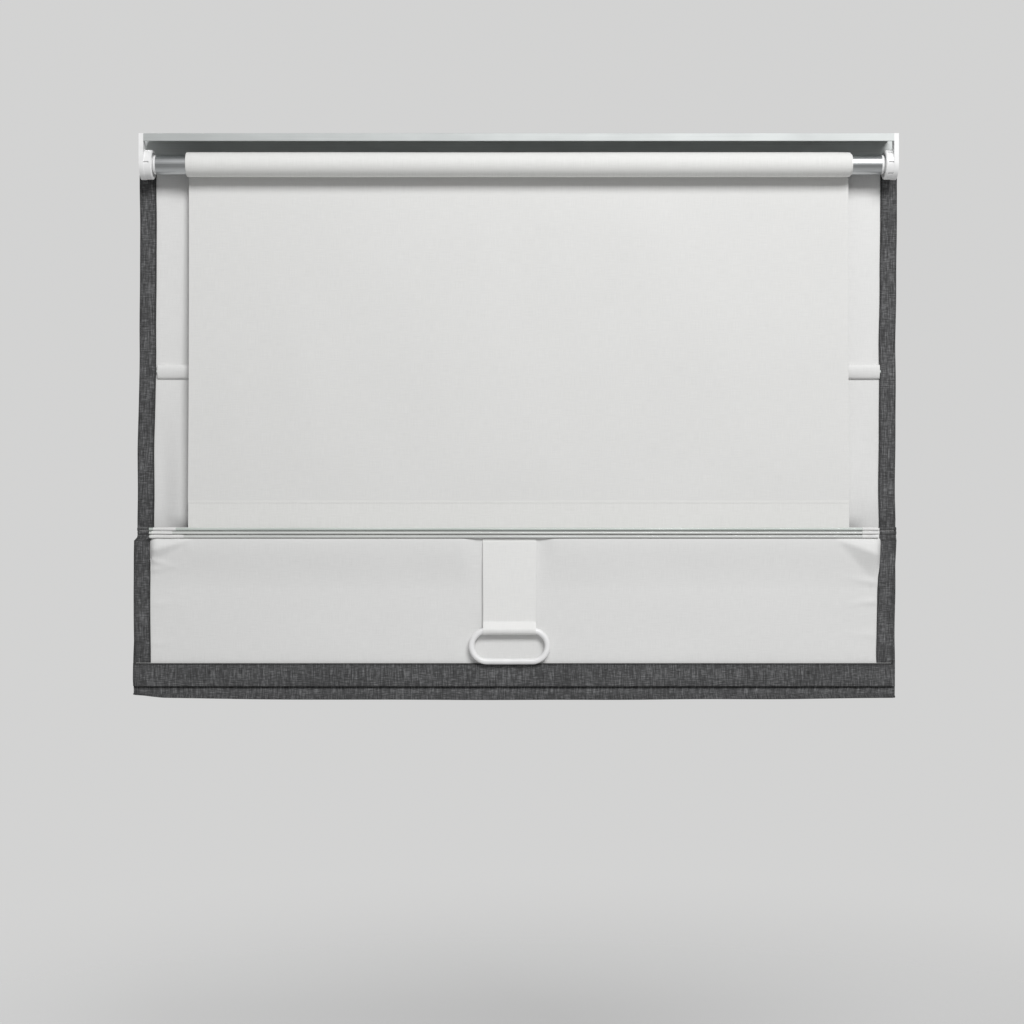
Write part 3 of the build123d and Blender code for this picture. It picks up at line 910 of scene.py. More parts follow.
    def make(self) -> bpy.types.Object:
        """Returns the linen, ready for the frame."""
        points, side, gap, distance = self.path.trace()
        across, off, flat_x = self.columns(gap)
        y = points[:, :1] + side[:, :1] * off
        z = points[:, 1:] + side[:, 1:] * off
        left, right = self.slip(points[:, :1], points[:, 1:], distance[:, None])
        share = (across + self.half_width) / (2 * self.half_width)
        x = across + left + (right - left) * share
        wander = 0.5 * MM * Ripple(21, 0.1).at(np.sign(across) * 3.0, distance[:, None])
        x = x + wander * ease(np.abs(across), 0.35, 0.45)
        in_front = ease(points[:, :1], self.fold_y, self.fold_y + 2 * MM)
        y = y + self.hang.push(x, z) + self.hang.belly(z) * in_front * ease(-z, 0.27, 0.3)
        in_fold = (points[:, :1] > self.skirt_y) * ease(-z, 0.49, 0.67)
        lift = 2.6 * MM * (across / self.half_width) ** 2 + 3.2 * MM * ease(-across, 0.418, 0.457)
        z = z + lift * in_fold + 0.4 * MM * Ripple(22, 0.2).at(x, 0 * x) * in_fold
        flat = stacked(flat_x, distance[:, None])
        cloth = loft("face_cloth", stacked(x, y, z), flat, self.thickness)
        width = float(flat_x.max())
        dress(cloth, Linen().make(width, float(distance[-1])))
        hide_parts("upper_cloth", "open_fold", "lower_cloth")
        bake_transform(cloth)
        return cloth


@dataclass(frozen=True)
class Ridge:
    """A soft ridge that runs in from a side hem of the skirt.

    Its depth is in millimetres, and its other sizes are in metres.
    """

    height: float
    depth: float
    reach: float
    half_height: float
    slope: float

    def rise(self, x: np.ndarray, z: np.ndarray, edge: float) -> np.ndarray:
        """How high the ridge stands.

        Args:
            x: Places across the blind.
            z: Heights.
            edge: The place of the hem's inner edge.

        Returns:
            The height of the ridge, in millimetres.
        """
        inward = np.abs(x - edge)
        ridge = np.exp(-(((z - self.height - self.slope * inward) / self.half_height) ** 2))
        return self.depth * ridge * np.exp(-((inward / self.reach) ** 2))


@dataclass(frozen=True)
class Fan:
    """A crease that opens like a fan from a point by an upper corner of the skirt.

    Its depth is in millimetres, its angles are in degrees, and its other sizes are in metres.
    """

    side: float
    apex_x: float
    apex_z: float
    depth: float
    ridge_angle: float
    lower_angle: float
    reach: float = 0.045

    def rise(self, x: np.ndarray, z: np.ndarray) -> np.ndarray:
        """How high the fan stands.

        Args:
            x: Places across the blind.
            z: Heights.

        Returns:
            The height of the fan, in millimetres.
        """
        out, down = (x - self.apex_x) * self.side, self.apex_z - z
        reach = np.clip(np.hypot(out, down) / self.reach, 0.0, 1.0)
        angle = np.degrees(np.arctan2(down, out))
        above = np.clip(0.25 + 0.75 * angle / self.ridge_angle, 0.0, 1.0)
        below = np.clip((self.lower_angle - angle) / (self.lower_angle - self.ridge_angle), 0.0, 1.0)
        return self.depth * np.minimum(above, below) * reach * (out > 0.0)


LEFT_RIDGES = (
    Ridge(-0.507, 1.6, 0.022, 0.0032, -0.25),
    Ridge(-0.520, 1.5, 0.020, 0.0030, 0.20),
    Ridge(-0.560, 0.7, 0.026, 0.0045, 0.05),
    Ridge(-0.606, 0.6, 0.020, 0.0035, -0.08),
)
RIGHT_RIDGES = (
    Ridge(-0.535, 1.8, 0.026, 0.0040, 0.15),
    Ridge(-0.556, 1.7, 0.026, 0.0034, -0.12),
    Ridge(-0.598, 0.7, 0.030, 0.0040, 0.06),
)
CORNER_FANS = (
    Fan(1.0, 0.381, -0.4815, 8.5, 21.0, 48.0),
    Fan(-1.0, -0.392, -0.4825, 6.0, 15.0, 30.0),
)


@dataclass
class Linings:
    """The white lining behind the linen: the upper length, and the skirt with the gathered part."""

    hang: Hang
    finishes: Finishes
    half_width: float = 454.5 * MM
    hem_cover: float = 17.5 * MM
    forward: float = 6.5 * MM
    pinch_x: float = -396.5 * MM
    pinch_width: float = 2.2 * MM
    strap_x: float = -11.0 * MM
    top_bulge: float = 3.4
    thickness: float = 0.35 * MM
    column_step: float = 4.0 * MM

    def places(self, points: np.ndarray, slip: Slip) -> tuple[np.ndarray, np.ndarray]:
        """Places across a lining.

        Args:
            points: The points of its side view.
            slip: How far the cloth it is sewn to has slipped.

        Returns:
            The places across and on the flat lining, for each row and column.
        """
        count = round(2 * self.half_width / self.column_step)
        across = np.linspace(-self.half_width, self.half_width, count + 1)[None, :]
        across = np.broadcast_to(across, (len(points), count + 1))
        left, right = slip.at(points[:, 1:])
        share = (across + self.half_width) / (2 * self.half_width)
        return across + left + (right - left) * share, across + self.half_width

    def upper(self) -> bpy.types.Object:
        """Returns the upper lining, which runs on into the open fold."""
        low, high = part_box("upper_lining")
        middle = (low.y + high.y) / 2 / MM
        rib = centre_of("rib_2").z / MM
        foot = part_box("open_fold")[0].z / MM + 7.0
        corners = [
            Corner(middle, high.z / MM),
            Corner(middle, rib + 26.0),
            Corner(middle + 0.5, rib - 4.0),
            Corner(middle + 0.5, foot),
        ]
        points, _, _, distance = SidePath(corners).trace()
        x, flat_x = self.places(points, Slip.UPPER)
        z = np.broadcast_to(points[:, 1:], x.shape)
        y = points[:, :1] + self.hang.push(x, z) + self.hang.belly(z) * ease(-z, 0.27, 0.3)
        wrinkle = np.abs(Ripple(31, 0.07, across_stretch=1.6).at(x, z)) * ease(-z, 0.04, 0.1)
        inside = ease(0.43 - np.abs(x + 2.5 * MM), 0.0, 0.028)
        forward = ease(-z, 0.30, 0.43) * ease(z, -0.4705, -0.462) * inside
        y = y - 0.12 * MM * wrinkle - self.forward * forward
        flat = stacked(flat_x, distance[:, None])
        lining = loft("upper_lining_cloth", stacked(x, y, z), flat, self.thickness)
        dress(lining, self.finishes.lining)
        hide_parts("upper_lining")
        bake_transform(lining)
        return lining

    def puckers(self, x: np.ndarray, z: np.ndarray, ribs_foot: float) -> np.ndarray:
        """How far the skirt's lining stands off behind the linen.

        Args:
            x: Places across the blind.
            z: Heights.
            ribs_foot: The height of the lowest rib.

        Returns:
            The height of its puckers, in metres, towards the back.
        """
        left, right = x.min() + self.hem_cover, x.max() - self.hem_cover
        total = 0.35 * np.abs(Ripple(41, 0.12, across_stretch=2.2).at(x, z))
        total = total + 0.5 * ease(Ripple(42, 0.2, across_stretch=1.4).at(x, z), 0.2, 1.2)
        for edge, ridges in ((left, LEFT_RIDGES), (right, RIGHT_RIDGES)):
            for ridge in ridges:
                total = total + ridge.rise(x, z, edge)
        for fan in CORNER_FANS:
            total = total + fan.rise(x, z)
        pinch = np.exp(-(((x - self.pinch_x) / self.pinch_width) ** 2))
        total = total + 0.9 * pinch * ease(z, -0.500, -0.490)
        foot = ribs_foot - 3.0 * MM
        seated = ease(-z, -foot, -foot + 4 * MM) * ease(z, -0.6305, -0.618)
        clear_of_strap = ease(np.abs(x - self.strap_x), 0.034, 0.060)
        total = total * seated * (0.25 + 0.75 * clear_of_strap)
        bulge = (1.0 - ease(-z, 0.486, 0.540)) * ease(-z, -foot - 1 * MM, -foot)
        total = total + self.top_bulge * clear_of_strap * bulge
        return total * MM

    def skirt(self) -> bpy.types.Object:
        """Returns the skirt's lining, with its turns in and out of the gathered folds."""
        low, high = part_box("skirt_lining")
        middle = (low.y + high.y) / 2 / MM
        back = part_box("panel_hem")[1].y / MM + 0.5
        ribs = [centre_of(f"rib_{number}").z / MM for number in (2, 3, 4)]
        corners = [Corner(back, ribs[0] + 2.1)]
        for rib, after in zip(ribs, ribs[1:]):
            corners += [
                Corner(back, rib - 1.35, 0.4),
                Corner(back + 0.75, (rib + after) / 2, 0.4),
                Corner(back, after + 1.35, 0.4),
            ]
        corners += [
            Corner(back, ribs[2] - 5.0, 3.0),
            Corner(middle, ribs[2] - 62.0, 60.0),
            Corner(middle, low.z / MM),
        ]
        points, _, _, distance = SidePath(corners, 2.6).trace()
        x, flat_x = self.places(points, Slip.SKIRT)
        z = np.broadcast_to(points[:, 1:], x.shape)
        in_stack = ease(z, ribs[2] * MM - 2.4 * MM, ribs[2] * MM - 1.5 * MM)
        left = x.min(axis=1)[:, None] + self.hem_cover
        right = x.max(axis=1)[:, None] - self.hem_cover
        by_hem = ease(x, left, left + 3.5 * MM) * ease(-x, -right, -right + 3.5 * MM)
        tucked = MM * np.interp(z / MM, [ribs[2] - 4.6, ribs[2] - 1.6], [middle, back])
        under_hem = (1.0 - by_hem) * (z < (ribs[2] - 1.6) * MM)
        y = points[:, :1] + (tucked - points[:, :1]) * under_hem
        y = y + self.hang.push(x, z) - self.puckers(x, z, ribs[2] * MM) * by_hem * (1.0 - in_stack)
        foot_short = 4.0 * ease(-z, -low.z - 35 * MM, -low.z)
        top_short = 1.3 * ease(z, ribs[0] * MM - 4 * MM, ribs[0] * MM + 2 * MM)
        z = z + MM * (foot_short - top_short) * (1.0 - by_hem)
        flat = stacked(flat_x, distance[:, None])
        lining = loft("skirt_lining_cloth", stacked(x, y, z), flat, self.thickness)
        dress(lining, self.finishes.lining)
        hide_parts("skirt_lining")
        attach(lining, Body.STACK.value)
        return lining


@dataclass
class LiftPanel:
    """The white panel that the roller winds, and the doubled hem at its foot."""

    finishes: Finishes
    thickness: float = 0.42 * MM
    hem_thickness: float = 0.3 * MM
    wound_thickness: float = 0.38 * MM
    column_step: float = 9.0 * MM
    wrap_angle: float = 62.0

    def axis(self) -> tuple[float, float]:
        """Returns the roller's axis, as its place front to back and its height, in millimetres."""
        middle = centre_of("roller_tube")
        return middle.y / MM, middle.z / MM

    def wound_radius(self) -> float:
        """Returns the radius of the wound cloth, in millimetres."""
        low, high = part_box("wound_panel")
        return (high.z - low.z) / 2 / MM

    def half_width(self) -> float:
        """Returns half the width of the panel, in metres."""
        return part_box("lift_panel")[1].x

    def spread(self, rows: int, inset: float = 0.0) -> np.ndarray:
        """Places across the panel.

        Args:
            rows: How many rows of points there are.
            inset: How far the outer columns lie in from the panel's edges.

        Returns:
            The place of each row and column.
        """
        count = round(2 * self.half_width() / self.column_step)
        across = np.linspace(-1.0, 1.0, count + 1)[None, :] * (self.half_width() - inset)
        return np.broadcast_to(across, (rows, count + 1))

    def hanging(self) -> bpy.types.Object:
        """Returns the part that hangs from the roll to the ribs."""
        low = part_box("lift_panel")[0]
        y, z = self.axis()
        radius = self.wound_radius() + 0.3
        hem_y = centre_of("panel_hem").y / MM
        lap = 4.0
        corners = []
        for degrees in np.linspace(self.wrap_angle, 0.0, 9):
            angle = math.radians(degrees)
            corners.append(Corner(y + radius * math.cos(angle), z + radius * math.sin(angle)))
        corners.append(Corner(hem_y, low.z / MM - lap))
        points, _, _, distance = SidePath(corners, 10.0).trace()
        x = self.spread(len(points))
        heights = np.broadcast_to(points[:, 1:], x.shape)
        free = ease(-heights, 0.055, 0.12) * ease(heights, -0.436, -0.39)
        sway = 0.9 * Ripple(51, 0.5, across_stretch=0.55).at(x, heights)
        sway = sway + 0.25 * Ripple(52, 0.13, across_stretch=0.5).at(x, heights)
        y_points = points[:, :1] + sway * free * MM
        pull = 1.0 - 0.0016 * np.sin(np.clip(-heights - 0.04, 0.0, 0.4) / 0.4 * math.pi)
        flat = stacked(x + self.half_width(), distance[:, None])
        panel = loft("lift_panel_cloth", stacked(x * pull, y_points, heights), flat, self.thickness)
        dress(panel, self.finishes.sheer)
        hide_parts("lift_panel")
        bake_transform(panel)
        size = (2 * self.half_width(), float(distance[-1]))
        return panel

    def foot_hem(self) -> bpy.types.Object:
        """Returns the doubled hem at the panel's foot."""
        low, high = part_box("panel_hem")
        middle = (low.y + high.y) / 2 / MM
        top, foot = high.z / MM, low.z / MM
        corners = [
            Corner(middle - 0.45, top),
            Corner(middle - 0.45, foot + 0.3, 0.44),
            Corner(middle + 0.45, foot + 0.3, 0.44),
            Corner(middle + 0.45, top),
        ]
        points, _, _, distance = SidePath(corners, 7.0).trace()
        x = self.spread(len(points), 0.4 * MM)
        uneven = 0.25 * MM * Ripple(53, 0.2).at(x, 0 * x)
        heights = points[:, 1:] + uneven * ease(points[:, 1:], -0.46, -0.44)
        flat = stacked(x + self.half_width(), distance[:, None])
        hem = loft("panel_foot_hem", stacked(x, points[:, :1], heights), flat, self.hem_thickness)
        dress(hem, self.finishes.panel)
        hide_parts("panel_hem")
        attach(hem, Body.STACK.value)
        size = (2 * self.half_width(), float(distance[-1]))
        return hem

    def wound(self) -> bpy.types.Object:
        """Returns the cloth wound on the roller, as one spiral."""
        y, z = self.axis()
        outer = self.wound_radius() - 0.25
        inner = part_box("roller_tube")[1].z / MM - z + 0.35
        turns = 5
        steps = 44
        share = np.linspace(0.0, 1.0, turns * steps + 1)[:, None]
        angle = 2 * math.pi * turns * share
        radius = outer + (inner - outer) * share
        half = self.half_width()
        layer = turns * share
        left = -half + MM * (0.25 * layer + 0.5 * np.sin(layer * 2.1))
        right = half + MM * (0.55 * layer - 1.9 + 0.35 * np.sin(layer * 1.7 + 1.0))
        edge = 3.0 * MM
        inside = np.linspace(0.0, 1.0, 61)[None, 1:-1]
        x = np.hstack([left, left + edge / 2, left + edge + (right - left - 2 * edge) * inside])
        x = np.hstack([x, right - edge / 2, right])
        slack = 0.12 * Ripple(61, 0.3).at(x, 0 * x) + 0.05 * np.sin(3 * angle + 9 * x)
        rounding = 0.55 * ease(x, half - 6 * MM, half + 0.5 * MM) + 0.2 * ease(-x, half - 2 * MM, half)
        size = radius + (slack * (1.0 - share)) - rounding * (1.0 - 0.6 * share)
        points = stacked(x, (y + size * np.cos(angle)) * MM, (z + size * np.sin(angle)) * MM)
        length = float(np.sum(2 * math.pi * radius[:-1] / steps)) * MM
        flat = stacked(x + half, share * length)
        roll = loft("wound_panel_cloth", points, flat, self.wound_thickness)
        dress(roll, self.finishes.panel)
        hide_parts("wound_panel")
        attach(roll, Body.ROLLER.value)
        return roll


# ---------------------------------------------------------------- sewing
@dataclass
class StitchRow:
    """A row of machine stitches."""

    name: str
    finish: bpy.types.Material
    pitch: float = 3.0 * MM
    length: float = 2.3 * MM
    radius: float = 0.22 * MM

    def make(self, starts: Sequence[Vector], ends: Sequence[Vector], body: Body) -> bpy.types.Object:
        """Sew along one or more lines.

        Args:
            starts: Where each line starts.
            ends: Where each line ends.
            body: The body that the stitches ride on.

        Returns:
            The stitches, as one piece.
        """
        rings, sides = 5, 6
        all_points, all_faces = [], []
        for start, end in zip(starts, ends):
            run = np.array(end - start)
            total = float(np.linalg.norm(run))
            run = run / total
            up = np.array((0.0, 1.0, 0.0))
            other = np.cross(run, up)
            for number in range(int(total / self.pitch)):
                middle = np.array(start) + run * self.pitch * (number + 0.5)
                first = rings * sides * len(all_points)
                place = []
                for ring in np.linspace(-1.0, 1.0, rings):
                    girth = self.radius * (0.25 + 0.75 * math.sqrt(max(0.0, 1.0 - ring * ring)))
                    sunk = self.radius * 1.1 * ring * ring
                    for step in range(sides):
                        angle = 2 * math.pi * step / sides
                        offset = other * math.cos(angle) * girth + up * (math.sin(angle) * girth + sunk)
                        place.append(middle + run * ring * self.length / 2 + offset)
                all_points.append(np.array(place))
                all_faces.append(grid_faces(rings, sides, first, around=True))
                for ring in (0, rings - 1):
                    caps = first + ring * sides + np.array([[0, 1, 2, 3], [0, 3, 4, 5]])
                    all_faces.append(caps if ring else caps[:, ::-1])
        points = np.vstack(all_points)
        piece = piece_from(self.name, points, np.vstack(all_faces), points[:, [0, 2]])
        dress(piece, self.finish)
        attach(piece, body.value)
        return piece


# ---------------------------------------------------------------- ribs
# for each rod of the stack, where its left sleeve starts and how long it is
LEFT_SLEEVES = {2: (5.0 * MM, 27.0 * MM), 3: (3.0 * MM, 25.0 * MM), 4: (1.5 * MM, 40.0 * MM)}


@dataclass
class Ribs:
    """The rods and the sleeves that hold them."""

    finishes: Finishes
    sleeve_thickness: float = 0.35 * MM
    right_sleeve: float = 19.0 * MM
    tail_gap: float = 0.35 * MM

    def rods(self) -> None:
        """Dress the rods."""
        for number in range(1, 5):
            # painted shade: rods 3 and 4 take the greyer copy of the rod finish
            finish = self.finishes.fibre if number < 3 else self.finishes.shade_grey_fibre
            dress(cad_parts[f"rib_{number}"], finish)
            log.info("dressed rib_%d", number)

    def long_sleeve(self) -> bpy.types.Object:
        """Returns the sleeve across the upper lining, closed round its rod."""
        low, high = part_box("rib_1_pocket")
        middle_z, tall = (low.z + high.z) / 2, (high.z - low.z) / 2
        flat_y = high.y - 0.3 * MM
        deep = high.y - low.y - 0.5 * MM
        count = 96
        x = np.linspace(low.x, high.x, count + 1)[:, None]
        turn = np.linspace(0.0, 2 * math.pi, 31)[None, :-1]
        rise = np.cos(turn)
        bulge = np.sin(turn)
        shape = np.where(bulge > 0, np.abs(bulge) ** 0.7, 0.0)
        lean = 1.0 + 0.22 * rise
        slack = 1.0 + 0.05 * Ripple(71, 0.06).at(x, 0 * x)
        y = flat_y - deep * shape * lean / 1.1 * slack * 0.92
        z = middle_z + tall * rise * 0.98 + 0.3 * MM * Ripple(72, 0.12).at(x, 0 * x)
        girth = 4.6 * tall
        flat = stacked(x - low.x, turn / (2 * math.pi) * girth)
        sleeve = loft("rib_1_sleeve", stacked(x, y, z), flat, self.sleeve_thickness, around=True)
        dress(sleeve, self.finishes.lining)
        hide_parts("rib_1_pocket")
        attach(sleeve, Body.RAIL.value)
        return sleeve

    def end_sleeves(self, number: int) -> bpy.types.Object:
        """Make the short sleeves at the two ends of a rod of the stack.

        Args:
            number: The rod's number.

        Returns:
            The two sleeves, as one piece.
        """
        low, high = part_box(f"rib_{number}_pockets")
        rod = centre_of(f"rib_{number}")
        radius = (high.z - low.z) / 2 - 0.25 * MM
        left_start, left_length = LEFT_SLEEVES[number]
        right_length = self.right_sleeve
        opening = math.radians(14.0)
        angles = np.linspace(opening, 2 * math.pi - opening, 25)[:, None]
        sewn = np.array([3.0, 1.5]) * MM
        girth = 2 * math.pi * radius + 2 * sewn[0]
        places, flats, faces, first = [], [], [], 0
        left_end = low.x + left_start
        for start, length in ((left_end, left_length), (high.x - right_length, right_length)):
            x = np.linspace(start, start + length, 13)[None, :]
            gather = 0.16 * MM * Ripple(80 + number, 0.012).at(x, 3.0 * angles / (2 * math.pi) * 0.02)
            size = radius + gather
            y = rod.y + size * np.cos(angles)
            z = rod.z + size * np.sin(angles)
            tail = (rod.y + radius + sewn)[:, None]
            top = stacked(x, tail, rod.z + self.tail_gap)
            foot = stacked(x, tail[::-1], rod.z - self.tail_gap)
            loop = np.concatenate([top, stacked(x, y, z), foot])
            rows, columns = loop.shape[:2]
            faces.append(grid_faces(rows, columns, first))
            along = np.linspace(0.0, girth, rows)[:, None]
            flats.append(stacked(x, along).reshape(-1, 2))
            places.append(loop.reshape(-1, 3))
            first += rows * columns
        sleeve = piece_from(f"rib_{number}_sleeves", np.vstack(places), np.vstack(faces), np.vstack(flats))
        thicken(sleeve, self.sleeve_thickness, even=False)
        dress(sleeve, self.finishes.lining)
        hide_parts(f"rib_{number}_pockets")
        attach(sleeve, Body.STACK.value)
        size = (left_length + right_length, girth)
        return sleeve


# ---------------------------------------------------------------- rail, roller and pull
PLASTIC_NODES = (
    "bracket_left",
    "bracket_right",
    "hub_left",
    "hub_right",
    "plug_left",
    "plug_right",
    "spring_anchor",
    "spring_driver",
    "bottom_bar",
    "pull_ring",
)


@dataclass
class Hardware:
    """The headrail, its end brackets, the spring roller and the bottom bar."""

    finishes: Finishes
    spring_turns: int = 78
    steps_a_turn: int = 20
    wire_radius: float = 0.75 * MM

    def dress_nodes(self) -> None:
        """Give the hard frame nodes their finishes."""
        plan = {
            "headrail": (self.finishes.rail, Slot.RAIL),
            "roller_tube": (self.finishes.tube, Slot.TUBE),
            "spring_shaft": (self.finishes.steel, Slot.STEEL),
        }
        plan |= {node: (self.finishes.plastic, Slot.PLASTIC) for node in PLASTIC_NODES}
        for node, (finish, slot) in plan.items():
            dress(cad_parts[node], finish)
            log.info("dressed %s", node)

    def spring(self) -> bpy.types.Object:
        """Returns the torsion spring inside the tube, as a coil of wire."""
        low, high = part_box("torsion_spring")
        middle = centre_of("torsion_spring")
        radius = (high.z - low.z) / 2 - self.wire_radius
        share = np.linspace(0.0, 1.0, self.steps_a_turn * self.spring_turns + 1)[:, None]
        angle = 2 * math.pi * self.spring_turns * share
        start, end = low.x + self.wire_radius, high.x - self.wire_radius
        x = start + (end - start) * share
        round_wire = np.linspace(0.0, 2 * math.pi, 7)[None, :-1]
        out = radius + self.wire_radius * np.cos(round_wire)
        along = x + self.wire_radius * np.sin(round_wire)
        points = stacked(along, middle.y + out * np.cos(angle), middle.z + out * np.sin(angle))
        flat = stacked(x, round_wire * self.wire_radius)
        coil = loft("spring_coil", points, flat, 0.0, around=True)
        dress(coil, self.finishes.steel)
        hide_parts("torsion_spring")
        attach(coil, Body.RAIL.value)
        return coil

    def tape(self, node: str, name: str) -> bpy.types.Object:
        """Make one of the two touch tapes that hold the cloth to the rail.

        Args:
            node: The frame node that it stands for.
            name: The name of the piece.

        Returns:
            The tape.
        """
        low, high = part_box(node)
        z = np.linspace(high.z - 0.2 * MM, low.z + 0.2 * MM, 12)[:, None]
        x = np.linspace(low.x + 0.3 * MM, high.x - 0.3 * MM, 181)[None, :]
        y = (low.y + high.y) / 2 + 0.05 * MM * Ripple(91, 0.02).at(x, z)
        strip = loft(name, stacked(x, y, z), stacked(x, z), (high.y - low.y) * 0.86)
        dress(strip, self.finishes.tape)
        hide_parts(node)
        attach(strip, Body.RAIL.value)
        return strip


@dataclass
class PullStrap:
    """The strap that hangs from the ribs and loops round the ring."""

    finishes: Finishes
    width: float = 64.0 * MM
    thickness: float = 1.0 * MM

    def make(self) -> bpy.types.Object:
        """Returns the strap."""
        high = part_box("pull_strap")[1]
        ring_low, ring_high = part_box("pull_ring")
        middle_x = (ring_low.x + ring_high.x) / 2
        bar = (ring_high.y - ring_low.y) / 2
        bar_y, bar_z = (ring_low.y + ring_high.y) / 2 / MM, (ring_high.z - bar) / MM
        front = high.y / MM - 0.6
        out = front - bar_y
        tail = front - 1.15
        corners = [
            Corner(front, high.z / MM),
            Corner(front, bar_z - out, out - 0.05),
            Corner(bar_y - out, bar_z - out, out - 0.05),
            Corner(bar_y - out, bar_z + 1.5, 3.0),
            Corner(tail, bar_z + 10.5, 3.0),
            Corner(tail, high.z / MM - 4.0),
        ]
        points, _, _, distance = SidePath(corners, 4.0).trace()
        across = np.linspace(-0.5, 0.5, 25)[None, :] * self.width
        bend = (ring_high.z - ring_low.z) / 2 - bar
        straight = ((ring_high.x - ring_low.x) - (ring_high.z - ring_low.z)) / 2
        past = np.clip(np.abs(across) - straight, 0.0, None)
        droop = bend - np.sqrt(np.clip(bend**2 - past**2, 0.0, None))
        z = points[:, 1:] - droop * ease(points[:, 1:], -0.560, -0.585)
        near_bar = ease(-points[:, 1:], 0.480, 0.56)
        cup = 0.5 * MM * Ripple(95, 0.08).at(across, points[:, 1:]) * (near_bar * 0.4)
        y = points[:, :1] - np.abs(cup) * (points[:, :1] < (tail + 0.5) * MM) * ease(z, -0.582, -0.57)
        x = middle_x + across * (1.0 - 0.012 * ease(-points[:, 1:], 0.49, 0.58))
        flat = stacked(across, distance[:, None])
        strap = loft("pull_strap_cloth", stacked(x, y, z), flat, self.thickness)
        dress(strap, self.finishes.strap)
        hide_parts("pull_strap")
        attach(strap, Body.STACK.value)
        return strap


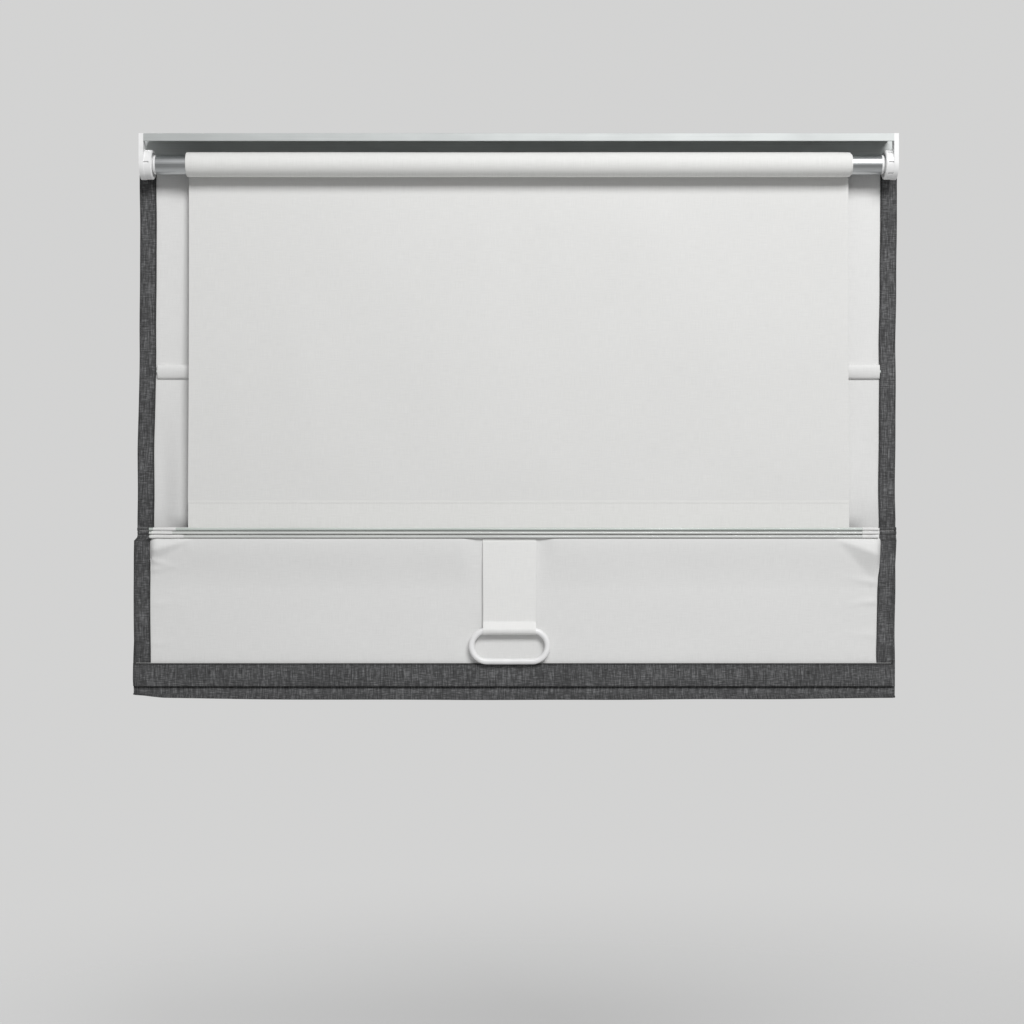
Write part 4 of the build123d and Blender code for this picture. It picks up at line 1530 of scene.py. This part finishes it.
# ---------------------------------------------------------------- studio
@dataclass
class Studio:
    """The camera, the lights and the floor."""

    camera_place: tuple[float, float, float] = (-0.008, -2.22, -0.4495)
    lens: float = 65.2
    key_power: float = 62.0
    room_power: float = 44.0
    ambient: float = 0.25
    backdrop: float = 0.65
    floor_height: float = -1.3
    floor_radius: float = 2.6
    fade_start: float = 0.2
    fade_end: float = 2.2
    key_place: tuple[float, float, float] = (0.6, -2.15, 1.28)
    room_place: tuple[float, float, float] = (-1.5, 2.0, 1.1)
    aim: tuple[float, float, float] = (0.0, 0.0, -0.35)

    def camera(self) -> None:
        """Place the camera behind the blind, level and square to it."""
        data = bpy.data.cameras.new("camera")
        data.lens = self.lens
        data.sensor_width = 36.0
        camera = bpy.data.objects.new("camera", data)
        camera.location = self.camera_place
        camera.rotation_euler = (math.radians(90.0), 0.0, 0.0)
        bpy.context.scene.collection.objects.link(camera)
        bpy.context.scene.camera = camera

    def light(self, name: str, place: Vector, aim: Vector, size: tuple[float, float], power: float) -> None:
        """Place a soft light.

        Args:
            name: The light's name.
            place: Where it is.
            aim: What it points at.
            size: Its width and height.
            power: Its power, in watts.
        """
        data = bpy.data.lights.new(name, "AREA")
        data.shape = "RECTANGLE"
        data.size, data.size_y = size
        data.energy = power
        lamp = bpy.data.objects.new(name, data)
        lamp.location = place
        lamp.rotation_euler = (aim - place).to_track_quat("-Z", "Y").to_euler()
        bpy.context.scene.collection.objects.link(lamp)

    def world(self) -> None:
        """Fill the room with an even pale light."""
        world = bpy.data.worlds.new("room")
        world.use_nodes = True
        tree = world.node_tree
        seen = tree.nodes["Background"]
        seen.inputs["Color"].default_value = grey(self.backdrop, (1.0, 1.0, 0.995))
        lit = tree.nodes.new("ShaderNodeBackground")
        lit.inputs["Color"].default_value = grey(self.ambient)
        ray = tree.nodes.new("ShaderNodeLightPath")
        mixed = tree.nodes.new("ShaderNodeMixShader")
        tree.links.new(ray.outputs["Is Camera Ray"], mixed.inputs[0])
        tree.links.new(lit.outputs[0], mixed.inputs[1])
        tree.links.new(seen.outputs[0], mixed.inputs[2])
        tree.links.new(mixed.outputs[0], tree.nodes["World Output"].inputs["Surface"])
        bpy.context.scene.world = world

    def floor(self) -> None:
        """Lay a plain pale floor, which fades out at its rim."""
        rings = np.linspace(0.0, 1.0, 14)[1:, None] * self.floor_radius
        turn = np.linspace(0.0, 2 * math.pi, 65)[None, :-1]
        x, y = rings * np.cos(turn), rings * np.sin(turn)
        points = stacked(x, y, self.floor_height)
        points[0] *= np.array((0.001, 0.001, 1.0))
        floor = loft("studio_floor", points, stacked(x, y), 0.0, around=True)
        recipe = Recipe("floor_paper")
        specks = recipe.cloud(recipe.solid_place((300.0, 300.0, 300.0)))
        colour = recipe.between(specks, [(0.3, grey(0.74)), (0.7, grey(0.76))])
        place = recipe.put("ShaderNodeTexCoord", {})
        sockets = {0: place.outputs["Object"], 1: (1.0, 1.0, 0.0)}
        flat = recipe.put("ShaderNodeVectorMath", sockets, operation="MULTIPLY")
        reach = recipe.put("ShaderNodeVectorMath", {0: flat.outputs[0]}, operation="LENGTH").outputs["Value"]
        fade = {"From Min": self.fade_start, "From Max": self.fade_end, "To Min": 1.0, "To Max": 0.0}
        fade["Value"] = reach
        cover = recipe.put("ShaderNodeMapRange", fade, interpolation_type="SMOOTHSTEP")
        recipe.surface(colour, recipe.calc("ADD", specks, 0.4), Specular_IOR_Level=0.1)
        recipe.tree.links.new(cover.outputs[0], recipe.shader.inputs["Alpha"])
        floor.data.materials.append(recipe.material)

    def build(self) -> None:
        """Set up the whole studio."""
        self.camera()
        self.world()
        self.floor()
        aim = Vector(self.aim)
        self.light("key", Vector(self.key_place), aim, (1.5, 0.9), self.key_power)
        self.light("room", Vector(self.room_place), aim, (1.6, 1.2), self.room_power)
        view = bpy.context.scene.view_settings
        view.view_transform = "Standard"
        view.look = "None"


def report(piece: bpy.types.Object) -> None:
    """Log a finished piece and its number of faces."""
    log.info("built %s with %d faces", piece.name, len(piece.data.polygons))


def main() -> None:
    """Build the looks of the blind in order, round the fixed frame."""
    logging.basicConfig(level=logging.INFO, format="%(message)s")
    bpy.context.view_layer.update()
    finishes = Finishes()
    hang = Hang(centre_of("rib_1").z, centre_of("rib_2").z)
    hardware = Hardware(finishes)
    hardware.dress_nodes()
    report(hardware.spring())
    report(hardware.tape("hook_tape", "hook_tape_strip"))
    report(hardware.tape("loop_tape", "loop_tape_strip"))
    panel = LiftPanel(finishes)
    report(panel.wound())
    report(panel.hanging())
    report(panel.foot_hem())
    ribs = Ribs(finishes)
    ribs.rods()
    report(ribs.long_sleeve())
    for number in (2, 3, 4):
        report(ribs.end_sleeves(number))
    linings = Linings(hang, finishes)
    report(linings.upper())
    report(linings.skirt())
    report(FaceCloth(hang).make())
    report(PullStrap(finishes).make())
    low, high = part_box("panel_hem")
    row = StitchRow("panel_hem_stitches", finishes.thread)
    sewn_z = high.z - 3 * MM
    start, end = Vector((low.x, low.y - 0.25 * MM, sewn_z)), Vector((high.x, low.y - 0.25 * MM, sewn_z))
    report(row.make([start], [end], Body.STACK))
    Studio().build()


if __name__ == "__main__":
    main()
